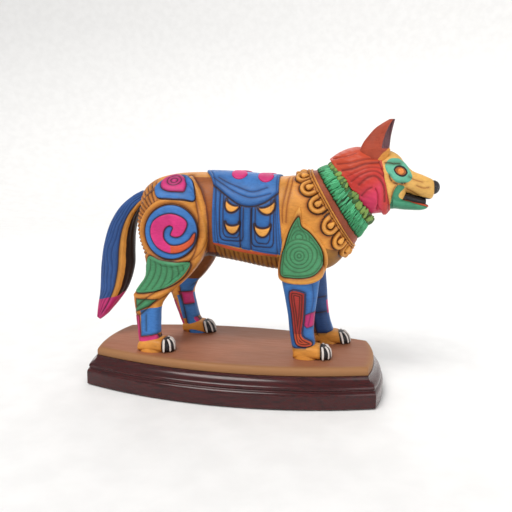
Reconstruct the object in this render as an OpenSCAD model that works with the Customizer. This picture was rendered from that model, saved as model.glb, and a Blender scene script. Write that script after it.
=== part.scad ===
// A standing wolf in painted relief on a moulded wooden plinth.
// The figure's tables are in millimetres above the cap board, with the nose towards +X.

/* [Figure] */
// Tip of the tail to tip of the nose
figure_length = 352; // [300:1:424]
// Cap board to the tips of the ears
figure_height = 228; // [190:1:274]
// Across the outsides of the hind paws
stance_width = 98; // [82:1:118]
// How far the left legs step forward of the right ones
step_forward = 24; // [0:1:32]

/* [Base] */
// From the outermost paws to the ends of the cap board
board_margin = 16; // [10:1:24]
// How far the long sides bow outwards in the middle
board_bow = 22.5; // [12:0.5:30]
// How far the ends bow outwards in the middle
end_bow = 6; // [2:0.5:10]
// Thickness of the cap board
cap_thickness = 8; // [6:0.5:12]
// Height of the moulded plinth
plinth_height = 28; // [20:0.5:36]
// How far the plinth's foot stands out past the cap board
plinth_foot = 10; // [7:0.5:14]
// Thickness of the felt under the plinth
felt_thickness = 1.5; // [1:0.25:3]
// How far the felt stays inside the plinth's foot
felt_inset = 3; // [1:0.5:8]

/* [Relief] */
// How far the flat ornaments stand proud
relief = 2; // [1.2:0.1:3]
// Thickness of the saddle cloth
saddle_thickness = 2.2; // [1.4:0.1:3.2]
// Thickness of the scalloped collar
collar_thickness = 3; // [2:0.1:4.5]
// Number of scallops round the collar
scallops = 14; // [10:1:18]
// Radius of the bead inside each scallop
bead_radius = 2.6; // [1.8:0.1:3.2]
// Thickness of the feather ruff
ruff_thickness = 6; // [4:0.25:8]
// Radius of the hip disc
disc_radius = 25.5; // [20:0.5:28]
// Radius of an eye
eye_radius = 3.2; // [2.4:0.1:4]
// Radius of the nose
nose_radius = 6.2; // [5:0.1:7.4]

/* [Joinery] */
// Diameter of the leg, ear and tail dowels
dowel_d = 6; // [4:0.25:7]
// Diameter of the dowel between head and neck
neck_dowel_d = 12; // [8:0.5:16]
// How far a dowel goes into each piece
dowel_depth = 12; // [8:0.5:15]
// Diameter of the screws
screw_d = 4; // [3:0.25:5]
// Diameter of the screw heads
screw_head_d = 8; // [6:0.25:10]
// How far a paw screw goes up into the leg
screw_bite = 14; // [9:0.5:18]
// Radial gap between a dowel or screw and its hole
fit_gap = 0.05; // [0.02:0.01:0.2]

/* [Hidden] */

sx = figure_length / 352;
sy = stance_width / 98;
sz = figure_height / 228;
deck = felt_thickness + plinth_height + cap_thickness;
around = 30;   // points round a body or ring section
leg_around = 18;
body_steps = 26;
flank = 24;    // the side ornaments begin this far from the middle plane
seat = 1.5;    // how far an ornament is drawn into what it sits on, before it is cut back

// Sections of the torso and neck: centre x, centre z, tilt, rise, drop, half width.
TORSO = [
    [-101, 141, 0, 6, 7, 6], [-98, 140, 0, 17, 18, 15], [-91, 138, 0, 27, 29, 24],
    [-78, 137, 0, 35, 36, 31], [-55, 136, 0, 40.5, 40, 35], [-25, 134.5, 0, 43, 42, 35.5],
    [5, 131.5, 0, 45, 43.5, 35.5], [35, 128.5, 3, 46, 46, 35], [58, 129.5, 9, 46, 48, 34],
    [78, 133.5, 20, 46, 50, 33], [93, 144, 30, 40, 42, 31], [103, 153, 34, 33, 34, 27],
    [112, 161, 37, 28, 29, 23], [120, 168, 39, 24, 24, 19]];
// Positions of the neck's rings, counted in rows of TORSO.
RING_BAND = 10.15;
RING_RUFF = 10.6;
RING_GARLAND = 11.6;
RING_HOOD = 12.2;

// Sections of the right legs: height, rear x, front x, outer y, inner y.
HINDLEG = [
    [170, -70, -48, -22, -6], [162, -81, -37, -31, -6], [148, -91, -27, -39.5, -8],
    [130, -95, -23, -44, -10], [112, -93, -23, -45.5, -12], [98, -88, -26, -45.5, -14],
    [84, -85, -35, -45, -18], [72, -86, -46, -44.5, -22], [62, -94, -56, -44.5, -25],
    [54, -97, -64, -45, -26], [45, -96, -69, -45.5, -27], [32, -94.5, -70, -46, -27],
    [18, -93, -70, -46.5, -27], [6, -91, -66, -48, -26.5], [0, -90, -66, -49, -26]];
FORELEG = [
    [128, 60, 70, -30, -20], [118, 55, 76, -34, -12], [104, 50, 84, -36.5, -10],
    [88, 48, 88, -37.5, -10], [76, 49.5, 86, -37.5, -12], [60, 53, 84.5, -37, -14],
    [42, 56.5, 82.5, -36.5, -15], [26, 58.5, 82, -36, -15], [12, 61, 84, -36.5, -15],
    [0, 63, 86, -37, -14.5]];
// Toe line of each right paw: front face x, outer y, inner y.
HIND_TOES = [-60, -49, -26];
FORE_TOES = [95, -37, -14.5];
paw_height = 11;
toe_reach = 5.5;
LEFT_SHIFT_FORE = 5;   // the left foreleg stands this much wider than the right one

// Sections of the tail: centre x, centre z, tilt, rise, drop, half width.
TAIL = [
    [-154, 18.5, 55, 2.5, 2.5, 2], [-147, 29, 58, 8, 8, 6.5], [-139.5, 42, 65, 12.5, 12.5, 10],
    [-133, 58, 74, 17, 17, 12.5], [-129, 78, 86, 19, 20, 14], [-127, 98, 82, 17.5, 18.5, 14],
    [-123, 117, 70, 15, 15.5, 13], [-116, 133, 56, 12, 12.5, 11.5],
    [-106, 145, 42, 9, 9, 9.5], [-97, 152, 38, 7, 7, 8]];
// Sections of the skull, snout and lower jaw: x, top, bottom, half width.
SKULL = [[116, 186, 152, 14], [124, 194, 148, 18], [134, 199.5, 146, 21], [145, 200.5, 146, 22.5],
    [152, 198.5, 146, 22], [156, 196, 146, 20.5]];
SNOUT = [[156, 196, 160, 20.5], [160, 192, 161, 19], [165, 184.5, 160.5, 16], [170, 180.5, 159, 13.5],
    [178, 177.5, 156.5, 11.5], [184, 175, 155.5, 10], [187, 173, 156.5, 8.5]];
JAW = [[156, 157.5, 146.5, 16], [162, 156.5, 145.5, 14], [170, 154.5, 145, 11.5],
    [178, 152.5, 145, 9.5], [184, 151, 147.5, 6]];
// Sections of the hood: centre x, centre z, tilt, rise, drop, half width.
HOOD = [[112, 165, 39, 34.5, 32, 27], [121, 170, 36, 35.5, 35.5, 29.5], [131, 172.5, 24, 32, 36, 29],
    [139, 173.5, 12, 28.5, 34, 27], [145, 172, 4, 28, 28, 24.5]];
// Sections of an ear: height, rear x, front x, outer y, inner y.
EAR = [[186, 120, 142, -19, -8], [198, 118.5, 146, -22, -8], [206, 121, 146.5, -21.5, -10],
    [214, 126.5, 147, -20.5, -12], [221, 133, 148, -20, -14], [228, 144, 149, -19, -17]];

// ---------- shapes ----------

function scaled(p) = [p.x * sx, p.y * sy, p.z * sz + deck];
function rounded(t, power) = sign(t) * pow(abs(t), 2 / power);
function blend4(a, b, c, d, t) =
    (2 * b + (c - a) * t + (2 * a - 5 * b + 4 * c - d) * t * t + (3 * b - a - 3 * c + d) * t * t * t) / 2;
// The row at position u of a table, which may lie between two rows.
function row_at(rows, u) =
    let (last = len(rows) - 1, i = min(floor(u), last - 1))
    blend4(rows[max(i - 1, 0)], rows[i], rows[i + 1], rows[min(i + 2, last)], u - i);
// One point of a tilted section, grown outwards by some millimetres.
function tilted_point(row, angle, grow = 0) =
    let (c = rounded(cos(angle), 2.25), s = rounded(sin(angle), 2.25),
        v = s * ((s > 0 ? row[3] : row[4]) + grow), w = c * (row[5] + grow))
    scaled([row[0] - v * sin(row[2]), w, row[1] + v * cos(row[2])]);
function tilted_ring(row, grow = 0, n = around) = [for (k = [0:n - 1]) tilted_point(row, 360 * k / n, grow)];
function tilted_rings(rows, steps, grow = 0, n = around) =
    [for (k = [0:steps]) tilted_ring(row_at(rows, k * (len(rows) - 1) / steps), grow, n)];
// A level section between a rear and a front x and an outer and an inner y, as in the leg tables.
function level_ring(row, grow = 0, n = leg_around, power = 2.6) =
    [for (k = [0:n - 1]) let (c = rounded(cos(360 * k / n), power), s = rounded(sin(360 * k / n), power))
        scaled([(row[1] + row[2]) / 2 + c * ((row[2] - row[1]) / 2 + grow),
            (row[3] + row[4]) / 2 + s * (abs(row[4] - row[3]) / 2 + grow), row[0]])];
// An upright section across the head, as in the skull's table.
function upright_ring(row, grow = 0, n = 24) =
    [for (k = [0:n - 1]) let (c = rounded(cos(360 * k / n), 2.3), s = rounded(sin(360 * k / n), 2.3))
        scaled([row[0], c * (row[3] + grow), (row[1] + row[2]) / 2 + s * ((row[1] - row[2]) / 2 + grow)])];

// A solid through rings of equal length, closed at both ends; the rings run towards +X or +Z.
module loft(rings) {
    n = len(rings[0]);
    m = len(rings);
    sides = [for (i = [0:m - 2], k = [0:n - 1]) let (a = i * n + k, b = i * n + (k + 1) % n)
        each [[a, a + n, b], [b, a + n, b + n]]];
    ends = [for (k = [1:n - 2]) each [[0, k, k + 1], [(m - 1) * n, (m - 1) * n + k + 1, (m - 1) * n + k]]];
    polyhedron([for (r = rings) each r], concat(sides, ends), convexity = 8);
}
// Evaluates freeform children as one mesh.
module freeform() { resize([0, 0, 0]) children(); }
// A side outline in figure coordinates, as a slab that reaches outwards on one side from a start distance.
module side_slab(points, side, start) {
    reach = 70 * sy - start;
    translate([0, side > 0 ? reach + start : -start, deck]) rotate([90, 0, 0])
        linear_extrude(reach) scale_outline() polygon(points);
}
module scale_outline() { multmatrix([[sx, 0, 0, 0], [0, sz, 0, 0], [0, 0, 1, 0]]) children(); }
module mirrored(side) { mirror([0, side > 0 ? 1 : 0, 0]) children(); }

// A ring round the torso between two places of TORSO, standing grow above its surface.
module neck_ring(from, to, grow, steps) {
    difference() {
        loft([for (k = [0:steps]) tilted_ring(row_at(TORSO, from + (to - from) * k / steps), grow)]);
        torso_body();
    }
}

// ---------- base ----------

half_length = 119 * sx + board_margin;
end_half_width = 49 * sy - 5;
function arc_radius(half_chord, bow) = (half_chord * half_chord + bow * bow) / (2 * bow);
bow_radius = arc_radius(half_length, board_bow);
end_radius = arc_radius(end_half_width, end_bow);
// The plinth's moulding from the foot up: share of plinth_foot, share of plinth_height.
MOULDING = [[1, 0], [1, 0.37], [0.99, 0.44], [0.95, 0.49], [0.87, 0.53], [0.77, 0.555], [0.72, 0.575],
    [0.73, 0.6], [0.79, 0.625], [0.8, 0.66], [0.74, 0.71], [0.6, 0.755], [0.4, 0.8], [0.22, 0.86],
    [0.1, 0.93], [0.05, 1]];
bow_steps = 14;
end_steps = 6;

// The board's plan, a given distance outside the cap board: four bowed sides.
module board_plan(out) {
    side_centre = bow_radius - end_half_width - board_bow;
    intersection() {
        translate([0, side_centre]) circle(bow_radius + out, $fn = 360);
        translate([0, -side_centre]) circle(bow_radius + out, $fn = 360);
        front_bow(out);
        mirror([1, 0, 0]) front_bow(out);
    }
}
// The arc of the front end, with a block behind it that reaches past the rear end.
module front_bow(out) {
    centre = half_length + end_bow - end_radius;
    reach = half_length + end_bow + out + 1;
    half_block = end_half_width + board_bow + out + 1;
    translate([centre, 0]) circle(end_radius + out, $fn = 360);
    translate([-reach, -half_block]) square([reach + centre, 2 * half_block]);
}
function bowed_side(x, out) =
    sqrt(pow(bow_radius + out, 2) - x * x) - bow_radius + end_half_width + board_bow;
function bowed_end(y, out) = sqrt(pow(end_radius + out, 2) - y * y) - end_radius + half_length + end_bow;
// Where a side and an end meet, found by going from one arc to the other a few times.
function corner_x(out, rounds = 4) =
    rounds == 0 ? half_length + out : bowed_end(bowed_side(corner_x(out, rounds - 1), out), out);
function plan_ring(out, z) =
    let (cx = corner_x(out), cy = bowed_side(cx, out),
        xs = [for (k = [0:bow_steps]) -cx + 2 * cx * k / bow_steps],
        ys = [for (k = [1:end_steps - 1]) -cy + 2 * cy * k / end_steps])
    concat([for (x = xs) [x, -bowed_side(x, out), z]], [for (y = ys) [bowed_end(y, out), y, z]],
        [for (x = xs) [-x, bowed_side(x, out), z]], [for (y = ys) [-bowed_end(y, out), -y, z]]);

HIND_SCREW = [-78, -37];
FORE_SCREW = [76, -26];
// How far a point of a left leg moves: all of its step on the ground, none where the leg joins the body.
function above_hock(z) = max(0, 1 - z / 92);
function left_step(z, wider) = step_forward * above_hock(z) * (wider > 0 ? 0.75 : 1);
function left_screw(p, wider) = [p.x + left_step(0, wider), wider - p.y];
PAW_SCREWS = [HIND_SCREW, FORE_SCREW, left_screw(HIND_SCREW, 0), left_screw(FORE_SCREW, LEFT_SHIFT_FORE)];
cap_screw_x = half_length - 20;
cap_screw_y = end_half_width - 12;
CAP_SCREWS = [for (i = [-1, 1], j = [-1, 1]) [i * cap_screw_x, j * cap_screw_y]];
head_height = 3;
cap_screw_length = plinth_height - head_height - 2 + cap_thickness * 0.6;
paw_screw_length = plinth_height + cap_thickness + screw_bite - head_height - 6;

module at_paw_screws() { for (p = PAW_SCREWS) translate([p.x * sx, p.y * sy, felt_thickness]) children(); }
module at_cap_screws() { for (p = CAP_SCREWS) translate([p.x, p.y, felt_thickness]) children(); }
// A pan-head screw standing on its head in a counterbore of the given depth.
module screw(length, sunk, gap) {
    translate([0, 0, sunk + head_height]) cylinder(h = length, r = screw_d / 2 + gap, $fn = 32);
    translate([0, 0, gap > 0 ? -1 : sunk])
        cylinder(h = head_height + (gap > 0 ? sunk + 1 : 0), r = screw_head_d / 2 + gap * 4, $fn = 32);
}
module paw_screw(gap = 0) { screw(paw_screw_length, 6, gap); }
module cap_screw(gap = 0) { screw(cap_screw_length, 2, gap); }

module base_felt() {
    color("darkolivegreen") linear_extrude(felt_thickness) board_plan(plinth_foot - felt_inset);
}
module plinth() {
    color([0.23, 0.09, 0.08]) difference() {
        loft([for (m = MOULDING) plan_ring(m[0] * plinth_foot, felt_thickness + m[1] * plinth_height)]);
        at_paw_screws() paw_screw(fit_gap);
        at_cap_screws() cap_screw(fit_gap);
    }
}
module cap_board() {
    color([0.62, 0.43, 0.33]) difference() {
        translate([0, 0, felt_thickness + plinth_height]) linear_extrude(cap_thickness) board_plan(0);
        at_paw_screws() paw_screw(fit_gap);
        at_cap_screws() cap_screw(fit_gap);
    }
}
module cap_screws() { color("silver") at_cap_screws() cap_screw(); }
module paw_screws() { color("silver") at_paw_screws() paw_screw(); }

// ---------- torso and legs ----------

module torso_body() { loft(tilted_rings(TORSO, body_steps)); }
// The rows of one leg: the left legs step forward and may stand wider.
function leg_rows(rows, side, wider = 0) =
    [for (r = rows) let (left = side > 0 ? 1 : 0, d = left * left_step(r[0], wider),
        w = -left * wider * above_hock(r[0])) [r[0], r[1] + d, r[2] + d, r[3] + w, r[4] + w]];
module leg_loft(rows, grow = 0) {
    steps = ceil((len(rows) - 1) * 1.4);
    loft([for (k = [steps:-1:0]) level_ring(row_at(rows, k * (len(rows) - 1) / steps), grow)]);
}
function hind_rows(side) = leg_rows(HINDLEG, side);
function fore_rows(side) = leg_rows(FORELEG, side, LEFT_SHIFT_FORE);
// A paw from under the leg to the flat face that carries the claws.
module paw(rows, toes, side, wider) {
    d = side > 0 ? left_step(0, wider) : 0;
    w = side > 0 ? -wider : 0;
    rear = rows[len(rows) - 1][1];
    sections = [[rear, 0.7, 0.9], [rear + 9, 1, 1], [toes[0] + d - 8, 1, 1], [toes[0] + d, 0.94, 0.9]];
    loft([for (s = sections) let (mid = (toes[1] + toes[2]) / 2 + w, half = (toes[2] - toes[1]) / 2 * s[1])
        [for (c = [[-1, 0], [1, 0], [1, 0.7], [0.75, 1], [-0.75, 1], [-1, 0.7]])
            scaled([s[0], mid + c[0] * half, c[1] * paw_height * s[2]])]]);
}
module leg(rows, toes, side, wider) {
    mirrored(side) union() {
        leg_loft(rows);
        paw(rows, toes, side, wider);
    }
}
// Upright dowels between legs and torso: x, distance from the middle plane, height of the joint.
LEG_DOWELS = [[-60, 27, 108], [68, 24, 94]];
module side_dowels(side, gap = 0) {
    for (p = LEG_DOWELS) translate(scaled([p[0], side * p[1], p[2]]))
        cylinder(h = 2 * (dowel_depth + gap), r = dowel_d / 2 + gap, center = true, $fn = 32);
}
// The neck dowel's frame: its origin on the neck's axis, pointing up it.
module on_neck() {
    end = TORSO[13];
    translate(scaled([end[0], 0, end[1]])) rotate([0, 90 - end[2], 0]) children();
}
module neck_pin(gap = 0) {
    on_neck() translate([0, 0, -dowel_depth - gap])
        cylinder(h = 2 * dowel_depth + 2 * gap, r = neck_dowel_d / 2 + gap, $fn = 40);
}
TAIL_ROOT = [-99, 0, 150];
tail_pin_tilt = 52;
module on_tail_root() { translate(scaled(TAIL_ROOT)) rotate([0, tail_pin_tilt, 0]) children(); }
module tail_pin(gap = 0) {
    on_tail_root() cylinder(h = 2 * dowel_depth + 2 * gap, r = dowel_d / 2 + gap, center = true, $fn = 32);
}

module torso() {
    color([0.85, 0.55, 0.18]) difference() {
        torso_body();
        for (side = [-1, 1]) side_dowels(side, fit_gap);
        neck_pin(fit_gap);
        tail_pin(fit_gap);
    }
}
module bored_leg(rows, toes, side, wider) {
    difference() {
        freeform() difference() {
            leg(rows, toes, side, wider);
            torso_body();
        }
        side_dowels(side, fit_gap);
        at_paw_screws() paw_screw(fit_gap);
    }
}
module hindleg(side) { color([0.85, 0.55, 0.18]) bored_leg(hind_rows(side), HIND_TOES, side, 0); }
module foreleg(side) {
    color([0.2, 0.42, 0.72]) bored_leg(fore_rows(side), FORE_TOES, side, LEFT_SHIFT_FORE);
}
module leg_dowels() { color("burlywood") for (side = [-1, 1]) side_dowels(side); }
module neck_dowel() { color("burlywood") neck_pin(); }
module tail_dowel() { color("burlywood") tail_pin(); }

claws_each = 5;
// Half-round claws that stand on the flat front face of a paw.
module paw_claws(toes, side, wider) {
    d = side > 0 ? left_step(0, wider) : 0;
    w = side > 0 ? -wider : 0;
    pitch = (toes[2] - toes[1]) * 0.94 * sy / claws_each;
    face = (toes[0] + d) * sx;
    mirrored(side) for (k = [0:claws_each - 1])
        translate([face, (toes[1] + toes[2]) / 2 * sy + w * sy + (k - (claws_each - 1) / 2) * pitch, deck])
            difference() {
                cylinder(h = paw_height * 0.62 * sz, r = pitch / 2 - 0.25, $fn = 24);
                translate([-pitch, -pitch, -1]) cube([pitch, 2 * pitch, paw_height * sz + 2]);
            }
}
module claws() {
    color("ivory") for (side = [-1, 1]) {
        paw_claws(HIND_TOES, side, 0);
        paw_claws(FORE_TOES, side, LEFT_SHIFT_FORE);
    }
}

// ---------- tail ----------

module tail() {
    color([0.16, 0.33, 0.62]) difference() {
        freeform() difference() {
            loft(tilted_rings(TAIL, 16, 0, 20));
            torso_body();
            for (side = [-1, 1]) leg(hind_rows(side), HIND_TOES, side, 0);
        }
        tail_pin(fit_gap);
    }
}

// ---------- head ----------

module skull_loft(rows, steps, grow = 0) {
    loft([for (k = [0:steps]) upright_ring(row_at(rows, k * (len(rows) - 1) / steps), grow)]);
}
module head_body() {
    skull_loft(SKULL, 8);
    skull_loft(SNOUT, 9);
}
EYE = [155.5, 15, 182];
module eye_pair() {
    for (side = [-1, 1]) translate(scaled([EYE.x, side * EYE.y, EYE.z]))
        rotate([-90 * side, 0, 0]) cylinder(h = 8 * sy, r = eye_radius, $fn = 24);
}
NOSE = [187, 166];   // x of the snout's end and height of the nose
module hood_body() { loft(tilted_rings(HOOD, 8, 0, 28)); }
module head() {
    color([0.88, 0.66, 0.3]) difference() {
        freeform() difference() {
            head_body();
            torso_body();
        }
        neck_pin(fit_gap);
        ear_pins(fit_gap);
    }
}
module lower_jaw() { color([0.25, 0.62, 0.5]) skull_loft(JAW, 6); }
module nose() {
    dome = [for (a = [0:15:90]) [nose_radius * cos(a), nose_radius * sin(a)]];
    color([0.1, 0.09, 0.1]) translate([NOSE[0] * sx, 0, NOSE[1] * sz + deck]) rotate([0, 90, 0])
        rotate_extrude($fn = 40) polygon(concat([[0, 0], [nose_radius * 0.9, 0]], dome));
}
// Domed discs that sit on the cheeks, cut back to the head.
module eyes() {
    color([0.95, 0.6, 0.15]) freeform() difference() {
        intersection() {
            eye_pair();
            skull_loft(SKULL, 8, 1.2);
        }
        head_body();
    }
}
module hood() {
    color([0.82, 0.18, 0.15]) difference() {
        freeform() difference() {
            hood_body();
            head_body();
            torso_body();
        }
        ear_pins(fit_gap);
    }
}
EAR_ROOT = [134, -14.5, 193];
ear_pin_length = 1.2 * dowel_depth;
module ear_pins(gap = 0) {
    for (side = [-1, 1]) translate(scaled([EAR_ROOT.x, -side * EAR_ROOT.y, EAR_ROOT.z])) rotate([0, 12, 0])
        cylinder(h = ear_pin_length + 2 * gap, r = dowel_d / 2 * 0.8 + gap, center = true, $fn = 28);
}
function ear_ring(row, hollow) =
    level_ring([row[0], row[1] + hollow * 5, row[2] + hollow, row[3] + hollow * 1.8, row[4] - hollow * 1.8],
        0, 16, 2);
// An ear with its cupped front, standing on the hood.
module ear(side) {
    color([0.82, 0.25, 0.15]) difference() {
        freeform() difference() {
            mirrored(side) difference() {
                loft([for (k = [0:10]) ear_ring(row_at(EAR, k / 2), 0)]);
                loft([for (k = [3:9]) ear_ring(row_at(EAR, k / 2), 1)]);
            }
            hood_body();
            head_body();
        }
        ear_pins(fit_gap);
    }
}
module ear_dowels() { color("burlywood") ear_pins(); }

// ---------- neck rings ----------

scallop_steps = 5;
bead_setback = 9;   // from the collar's front rim back to the middles of the scallops
scallop_reach = 8;  // from the middle of a scallop back to its edge
// How long one row of TORSO is where the collar lies, at an angle round the neck.
function row_length(angle) = norm(tilted_point(row_at(TORSO, RING_BAND), angle)
    - tilted_point(row_at(TORSO, RING_BAND - 1), angle));
// The collar's rear edge as a row of round scallops; angle runs round the neck.
function scallop_edge(angle) =
    let (pitch = 360 / scallops, t = 2 * (angle / pitch - floor(angle / pitch)) - 1)
    RING_BAND - (bead_setback + scallop_reach * sqrt(max(0, 1 - t * t * 0.92))) / row_length(angle);
function collar_ring(share, grow) =
    [for (k = [0:scallops * scallop_steps - 1]) let (a = 360 * k / (scallops * scallop_steps))
        tilted_point(row_at(TORSO, share * scallop_edge(a) + (1 - share) * RING_BAND), a, grow)];
module collar_body() {
    tube([for (share = [1, 0.5, 0]) collar_ring(share, collar_thickness),
        for (share = [0, 0.5, 1]) collar_ring(share, -seat)]);
}
// A closed ring through loops that return to the first one.
module tube(loops) {
    n = len(loops[0]);
    m = len(loops);
    polyhedron([for (r = loops) each r],
        [for (i = [0:m - 1], k = [0:n - 1])
            let (a = i * n + k, b = i * n + (k + 1) % n, next = (i < m - 1 ? n : -i * n))
            each [[a, a + next, b], [b, a + next, b + next]]], convexity = 8);
}
module collar() {
    color([0.9, 0.62, 0.22]) freeform() difference() {
        collar_body();
        torso_body();
        for (side = [-1, 1]) leg(fore_rows(side), FORE_TOES, side, LEFT_SHIFT_FORE);
    }
}
// A bead stands in the middle of each scallop.
module collar_beads() {
    color([0.96, 0.7, 0.28]) freeform() difference() {
        for (k = [0:scallops - 1]) let (a = 360 * (k + 0.5) / scallops)
            let (row = row_at(TORSO, RING_BAND - bead_setback / row_length(a)))
            translate(tilted_point(row, a, collar_thickness)) sphere(r = bead_radius, $fn = 8);
        collar_body();
    }
}
module throat_band() {
    color([0.42, 0.16, 0.1]) freeform() neck_ring(RING_BAND, RING_RUFF, collar_thickness * 0.6, 2);
}
module feather_ruff() {
    color([0.15, 0.6, 0.4]) freeform() difference() {
        loft([for (t = [0:0.2:1]) tilted_ring(row_at(TORSO, RING_RUFF + (RING_GARLAND - RING_RUFF) * t),
            ruff_thickness * (0.55 + 0.45 * sin(180 * t)))]);
        torso_body();
        hood_body();
    }
}
module leaf_garland() {
    color([0.42, 0.55, 0.2]) freeform() difference() {
        loft([for (t = [0:0.25:1]) tilted_ring(row_at(TORSO, RING_GARLAND + (RING_HOOD - RING_GARLAND) * t),
            ruff_thickness * 0.95 - 1.5 * t)]);
        torso_body();
        hood_body();
        head_body();
    }
}

// ---------- saddle ----------

// The saddle cloth's ends in rows of TORSO, and the angles round the body where its hems hang.
saddle_rear = 5.25;
saddle_front = 7.55;
saddle_corner = 0.45;   // how much further back the cloth reaches along the spine
hem_rear = -30;
hem_front = -33;
saddle_across = 24;
saddle_along = 8;
function saddle_point(s, t, grow) =
    let (hem = hem_rear + (hem_front - hem_rear) * s, a = hem + (180 - 2 * hem) * t,
        rear = saddle_rear - saddle_corner * pow(max(0, sin(a)), 6))
    tilted_point(row_at(TORSO, rear + (saddle_front - rear) * s), a, grow);
// A four-sided patch as two triangles.
function patch(a, b, c, d) = [[a, b, c], [a, c, d]];
// A sheet between an outer and an inner grid of points: rows run towards +X, columns from right to left.
module sheet(outer, inner) {
    n = len(outer[0]);
    m = len(outer);
    all = m * n;
    skin = [for (i = [0:m - 2], k = [0:n - 2]) let (a = i * n + k, b = all + a)
        each concat(patch(a, a + n, a + n + 1, a + 1), patch(b, b + 1, b + n + 1, b + n))];
    ends = [for (k = [0:n - 2]) let (z = (m - 1) * n + k)
        each concat(patch(k, k + 1, all + k + 1, all + k), patch(z, all + z, all + z + 1, z + 1))];
    hems = [for (i = [0:m - 2]) let (a = i * n, z = a + n - 1)
        each concat(patch(a, all + a, all + a + n, a + n), patch(z, z + n, all + z + n, all + z))];
    polyhedron([for (r = concat(outer, inner)) each r], concat(skin, ends, hems), convexity = 8);
}
module saddle_body(thickness) {
    rows = [for (k = [0:saddle_along]) k / saddle_along];
    columns = [for (j = [0:saddle_across]) j / saddle_across];
    sheet([for (s = rows) [for (t = columns) saddle_point(s, t, thickness)]],
        [for (s = rows) [for (t = columns) saddle_point(s, t, -seat)]]);
}
module saddle_cloth() {
    color([0.18, 0.42, 0.75]) freeform() difference() {
        saddle_body(saddle_thickness);
        torso_body();
        for (side = [-1, 1]) leg(hind_rows(side), HIND_TOES, side, 0);
        for (side = [-1, 1]) leg(fore_rows(side), FORE_TOES, side, LEFT_SHIFT_FORE);
    }
}
// What stands on the saddle cloth: it follows the cloth's face, one relief higher.
module on_saddle() {
    freeform() difference() {
        intersection() {
            loft(tilted_rings(TORSO, body_steps, saddle_thickness + relief * 0.5));
            children();
        }
        loft(tilted_rings(TORSO, body_steps, saddle_thickness - 0.6));
        saddle_body(saddle_thickness);
    }
}
// Crescents: middle of the chord x and z, half width, depth, turn.
CRESCENTS = [[3, 150, 7, 10, -22], [34, 149, 8, 10, 22], [2.5, 131, 7, 11, 0], [31.5, 129.5, 7.5, 11.5, 0]];
function turned(c, x, y) = [c[0] + x * cos(c[4]) - y * sin(c[4]), c[1] + x * sin(c[4]) + y * cos(c[4])];
function crescent(c) =
    concat([for (a = [0:22.5:180]) turned(c, -c[2] * cos(a), -c[3] * sin(a))],
        [for (a = [22.5:22.5:157.5]) turned(c, c[2] * cos(a), -0.4 * c[3] * sin(a))]);
module saddle_crescents() {
    color([0.93, 0.6, 0.2]) for (side = [-1, 1], c = CRESCENTS) on_saddle() side_slab(crescent(c), side, 0);
}
SPOTS = [[5, 8], [31, 8]];
module saddle_spots() {
    color([0.85, 0.18, 0.5]) for (side = [-1, 1], p = SPOTS) on_saddle()
        translate(scaled([p[0], side * 15, 170])) rotate([-35 * side, 0, 0])
            cylinder(h = 40, r = p[1], center = true, $fn = 20);
}

// ---------- side ornaments ----------

// An ornament on a side: the outline's slab, kept between the surface below and one relief above it.
module hind_ornament(points, side, low, high, start = flank) {
    freeform() difference() {
        intersection() {
            side_slab(points, side, start);
            union() {
                mirrored(side) leg_loft(hind_rows(side), high);
                loft(tilted_rings(TORSO, body_steps, high));
            }
        }
        mirrored(side) leg_loft(hind_rows(side), low);
        loft(tilted_rings(TORSO, body_steps, low));
        paw_clear(side);
    }
}
module paw_clear(side) { mirrored(side) paw(hind_rows(side), HIND_TOES, side, 0); }
module fore_ornament(points, side, low, high) {
    freeform() difference() {
        intersection() {
            side_slab(points, side, flank);
            union() {
                mirrored(side) leg_loft(fore_rows(side), high);
                loft(tilted_rings(TORSO, body_steps, high));
            }
        }
        mirrored(side) leg_loft(fore_rows(side), low);
        loft(tilted_rings(TORSO, body_steps, low));
        collar_body();
    }
}
DISC = [-56, 120];
function arc(centre, r, from, to, n) =
    [for (k = [0:n]) let (a = from + (to - from) * k / n) [centre[0] + r * cos(a), centre[1] + r * sin(a)]];
disc_outline = arc(DISC, disc_radius, 0, 345, 23);
// The comma round the disc's middle: its outer edge from the tail's tip, then its inner edge.
COMMA = [[24, -1], [22, -10], [12, -18], [0, -20], [-12, -15], [-19, -4], [-18, 8], [-10, 15], [1, 17.5],
    [12, 14], [16.5, 8], [13, -1], [7, -4.5], [1, -2.5], [3, 4], [0, 6], [-4, 4], [-6, -1], [-5, -7],
    [1, -12], [10, -11.5], [18, -7], [22, -1]];
comma_outline = [for (p = COMMA) DISC + p * disc_radius / 26];
RUMP = [[-77, 163], [-76, 156], [-70, 151], [-58, 150.5], [-46, 150], [-36, 149], [-34.5, 156],
    [-37, 165], [-42, 171], [-50, 174], [-60, 174], [-70, 170.5]];
THIGH = [[-78, 96], [-66, 92.5], [-52, 91], [-38, 91], [-42, 81], [-51, 72], [-63, 65], [-78, 60.5],
    [-93, 59], [-90, 66], [-84, 76], [-83, 87]];
SHIELD = [[66, 147], [58, 133], [51, 117], [47.5, 101], [46, 88], [47, 79], [52, 75.5], [63, 74], [75, 74.5],
    [84, 77.5], [90, 84.5], [93, 95], [91.5, 106], [86, 116], [77, 127], [69, 133]];
INLAY = [[65, 138], [58, 127], [53.5, 113], [51, 99], [50.5, 82], [60, 80], [72, 80.5], [81, 83.5],
    [86.5, 90], [88.5, 98], [87.5, 106], [83, 114.5], [75.5, 123.5], [68, 129]];
MOTIF = [[59, 66], [71.5, 66], [73, 61], [72.5, 40], [71.5, 24], [80, 18], [80, 14], [70, 13.5],
    [65, 19], [61.5, 44]];
function stepped(points) = [for (p = points) [p[0] + left_step(p[1], LEFT_SHIFT_FORE), p[1]]];

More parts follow.
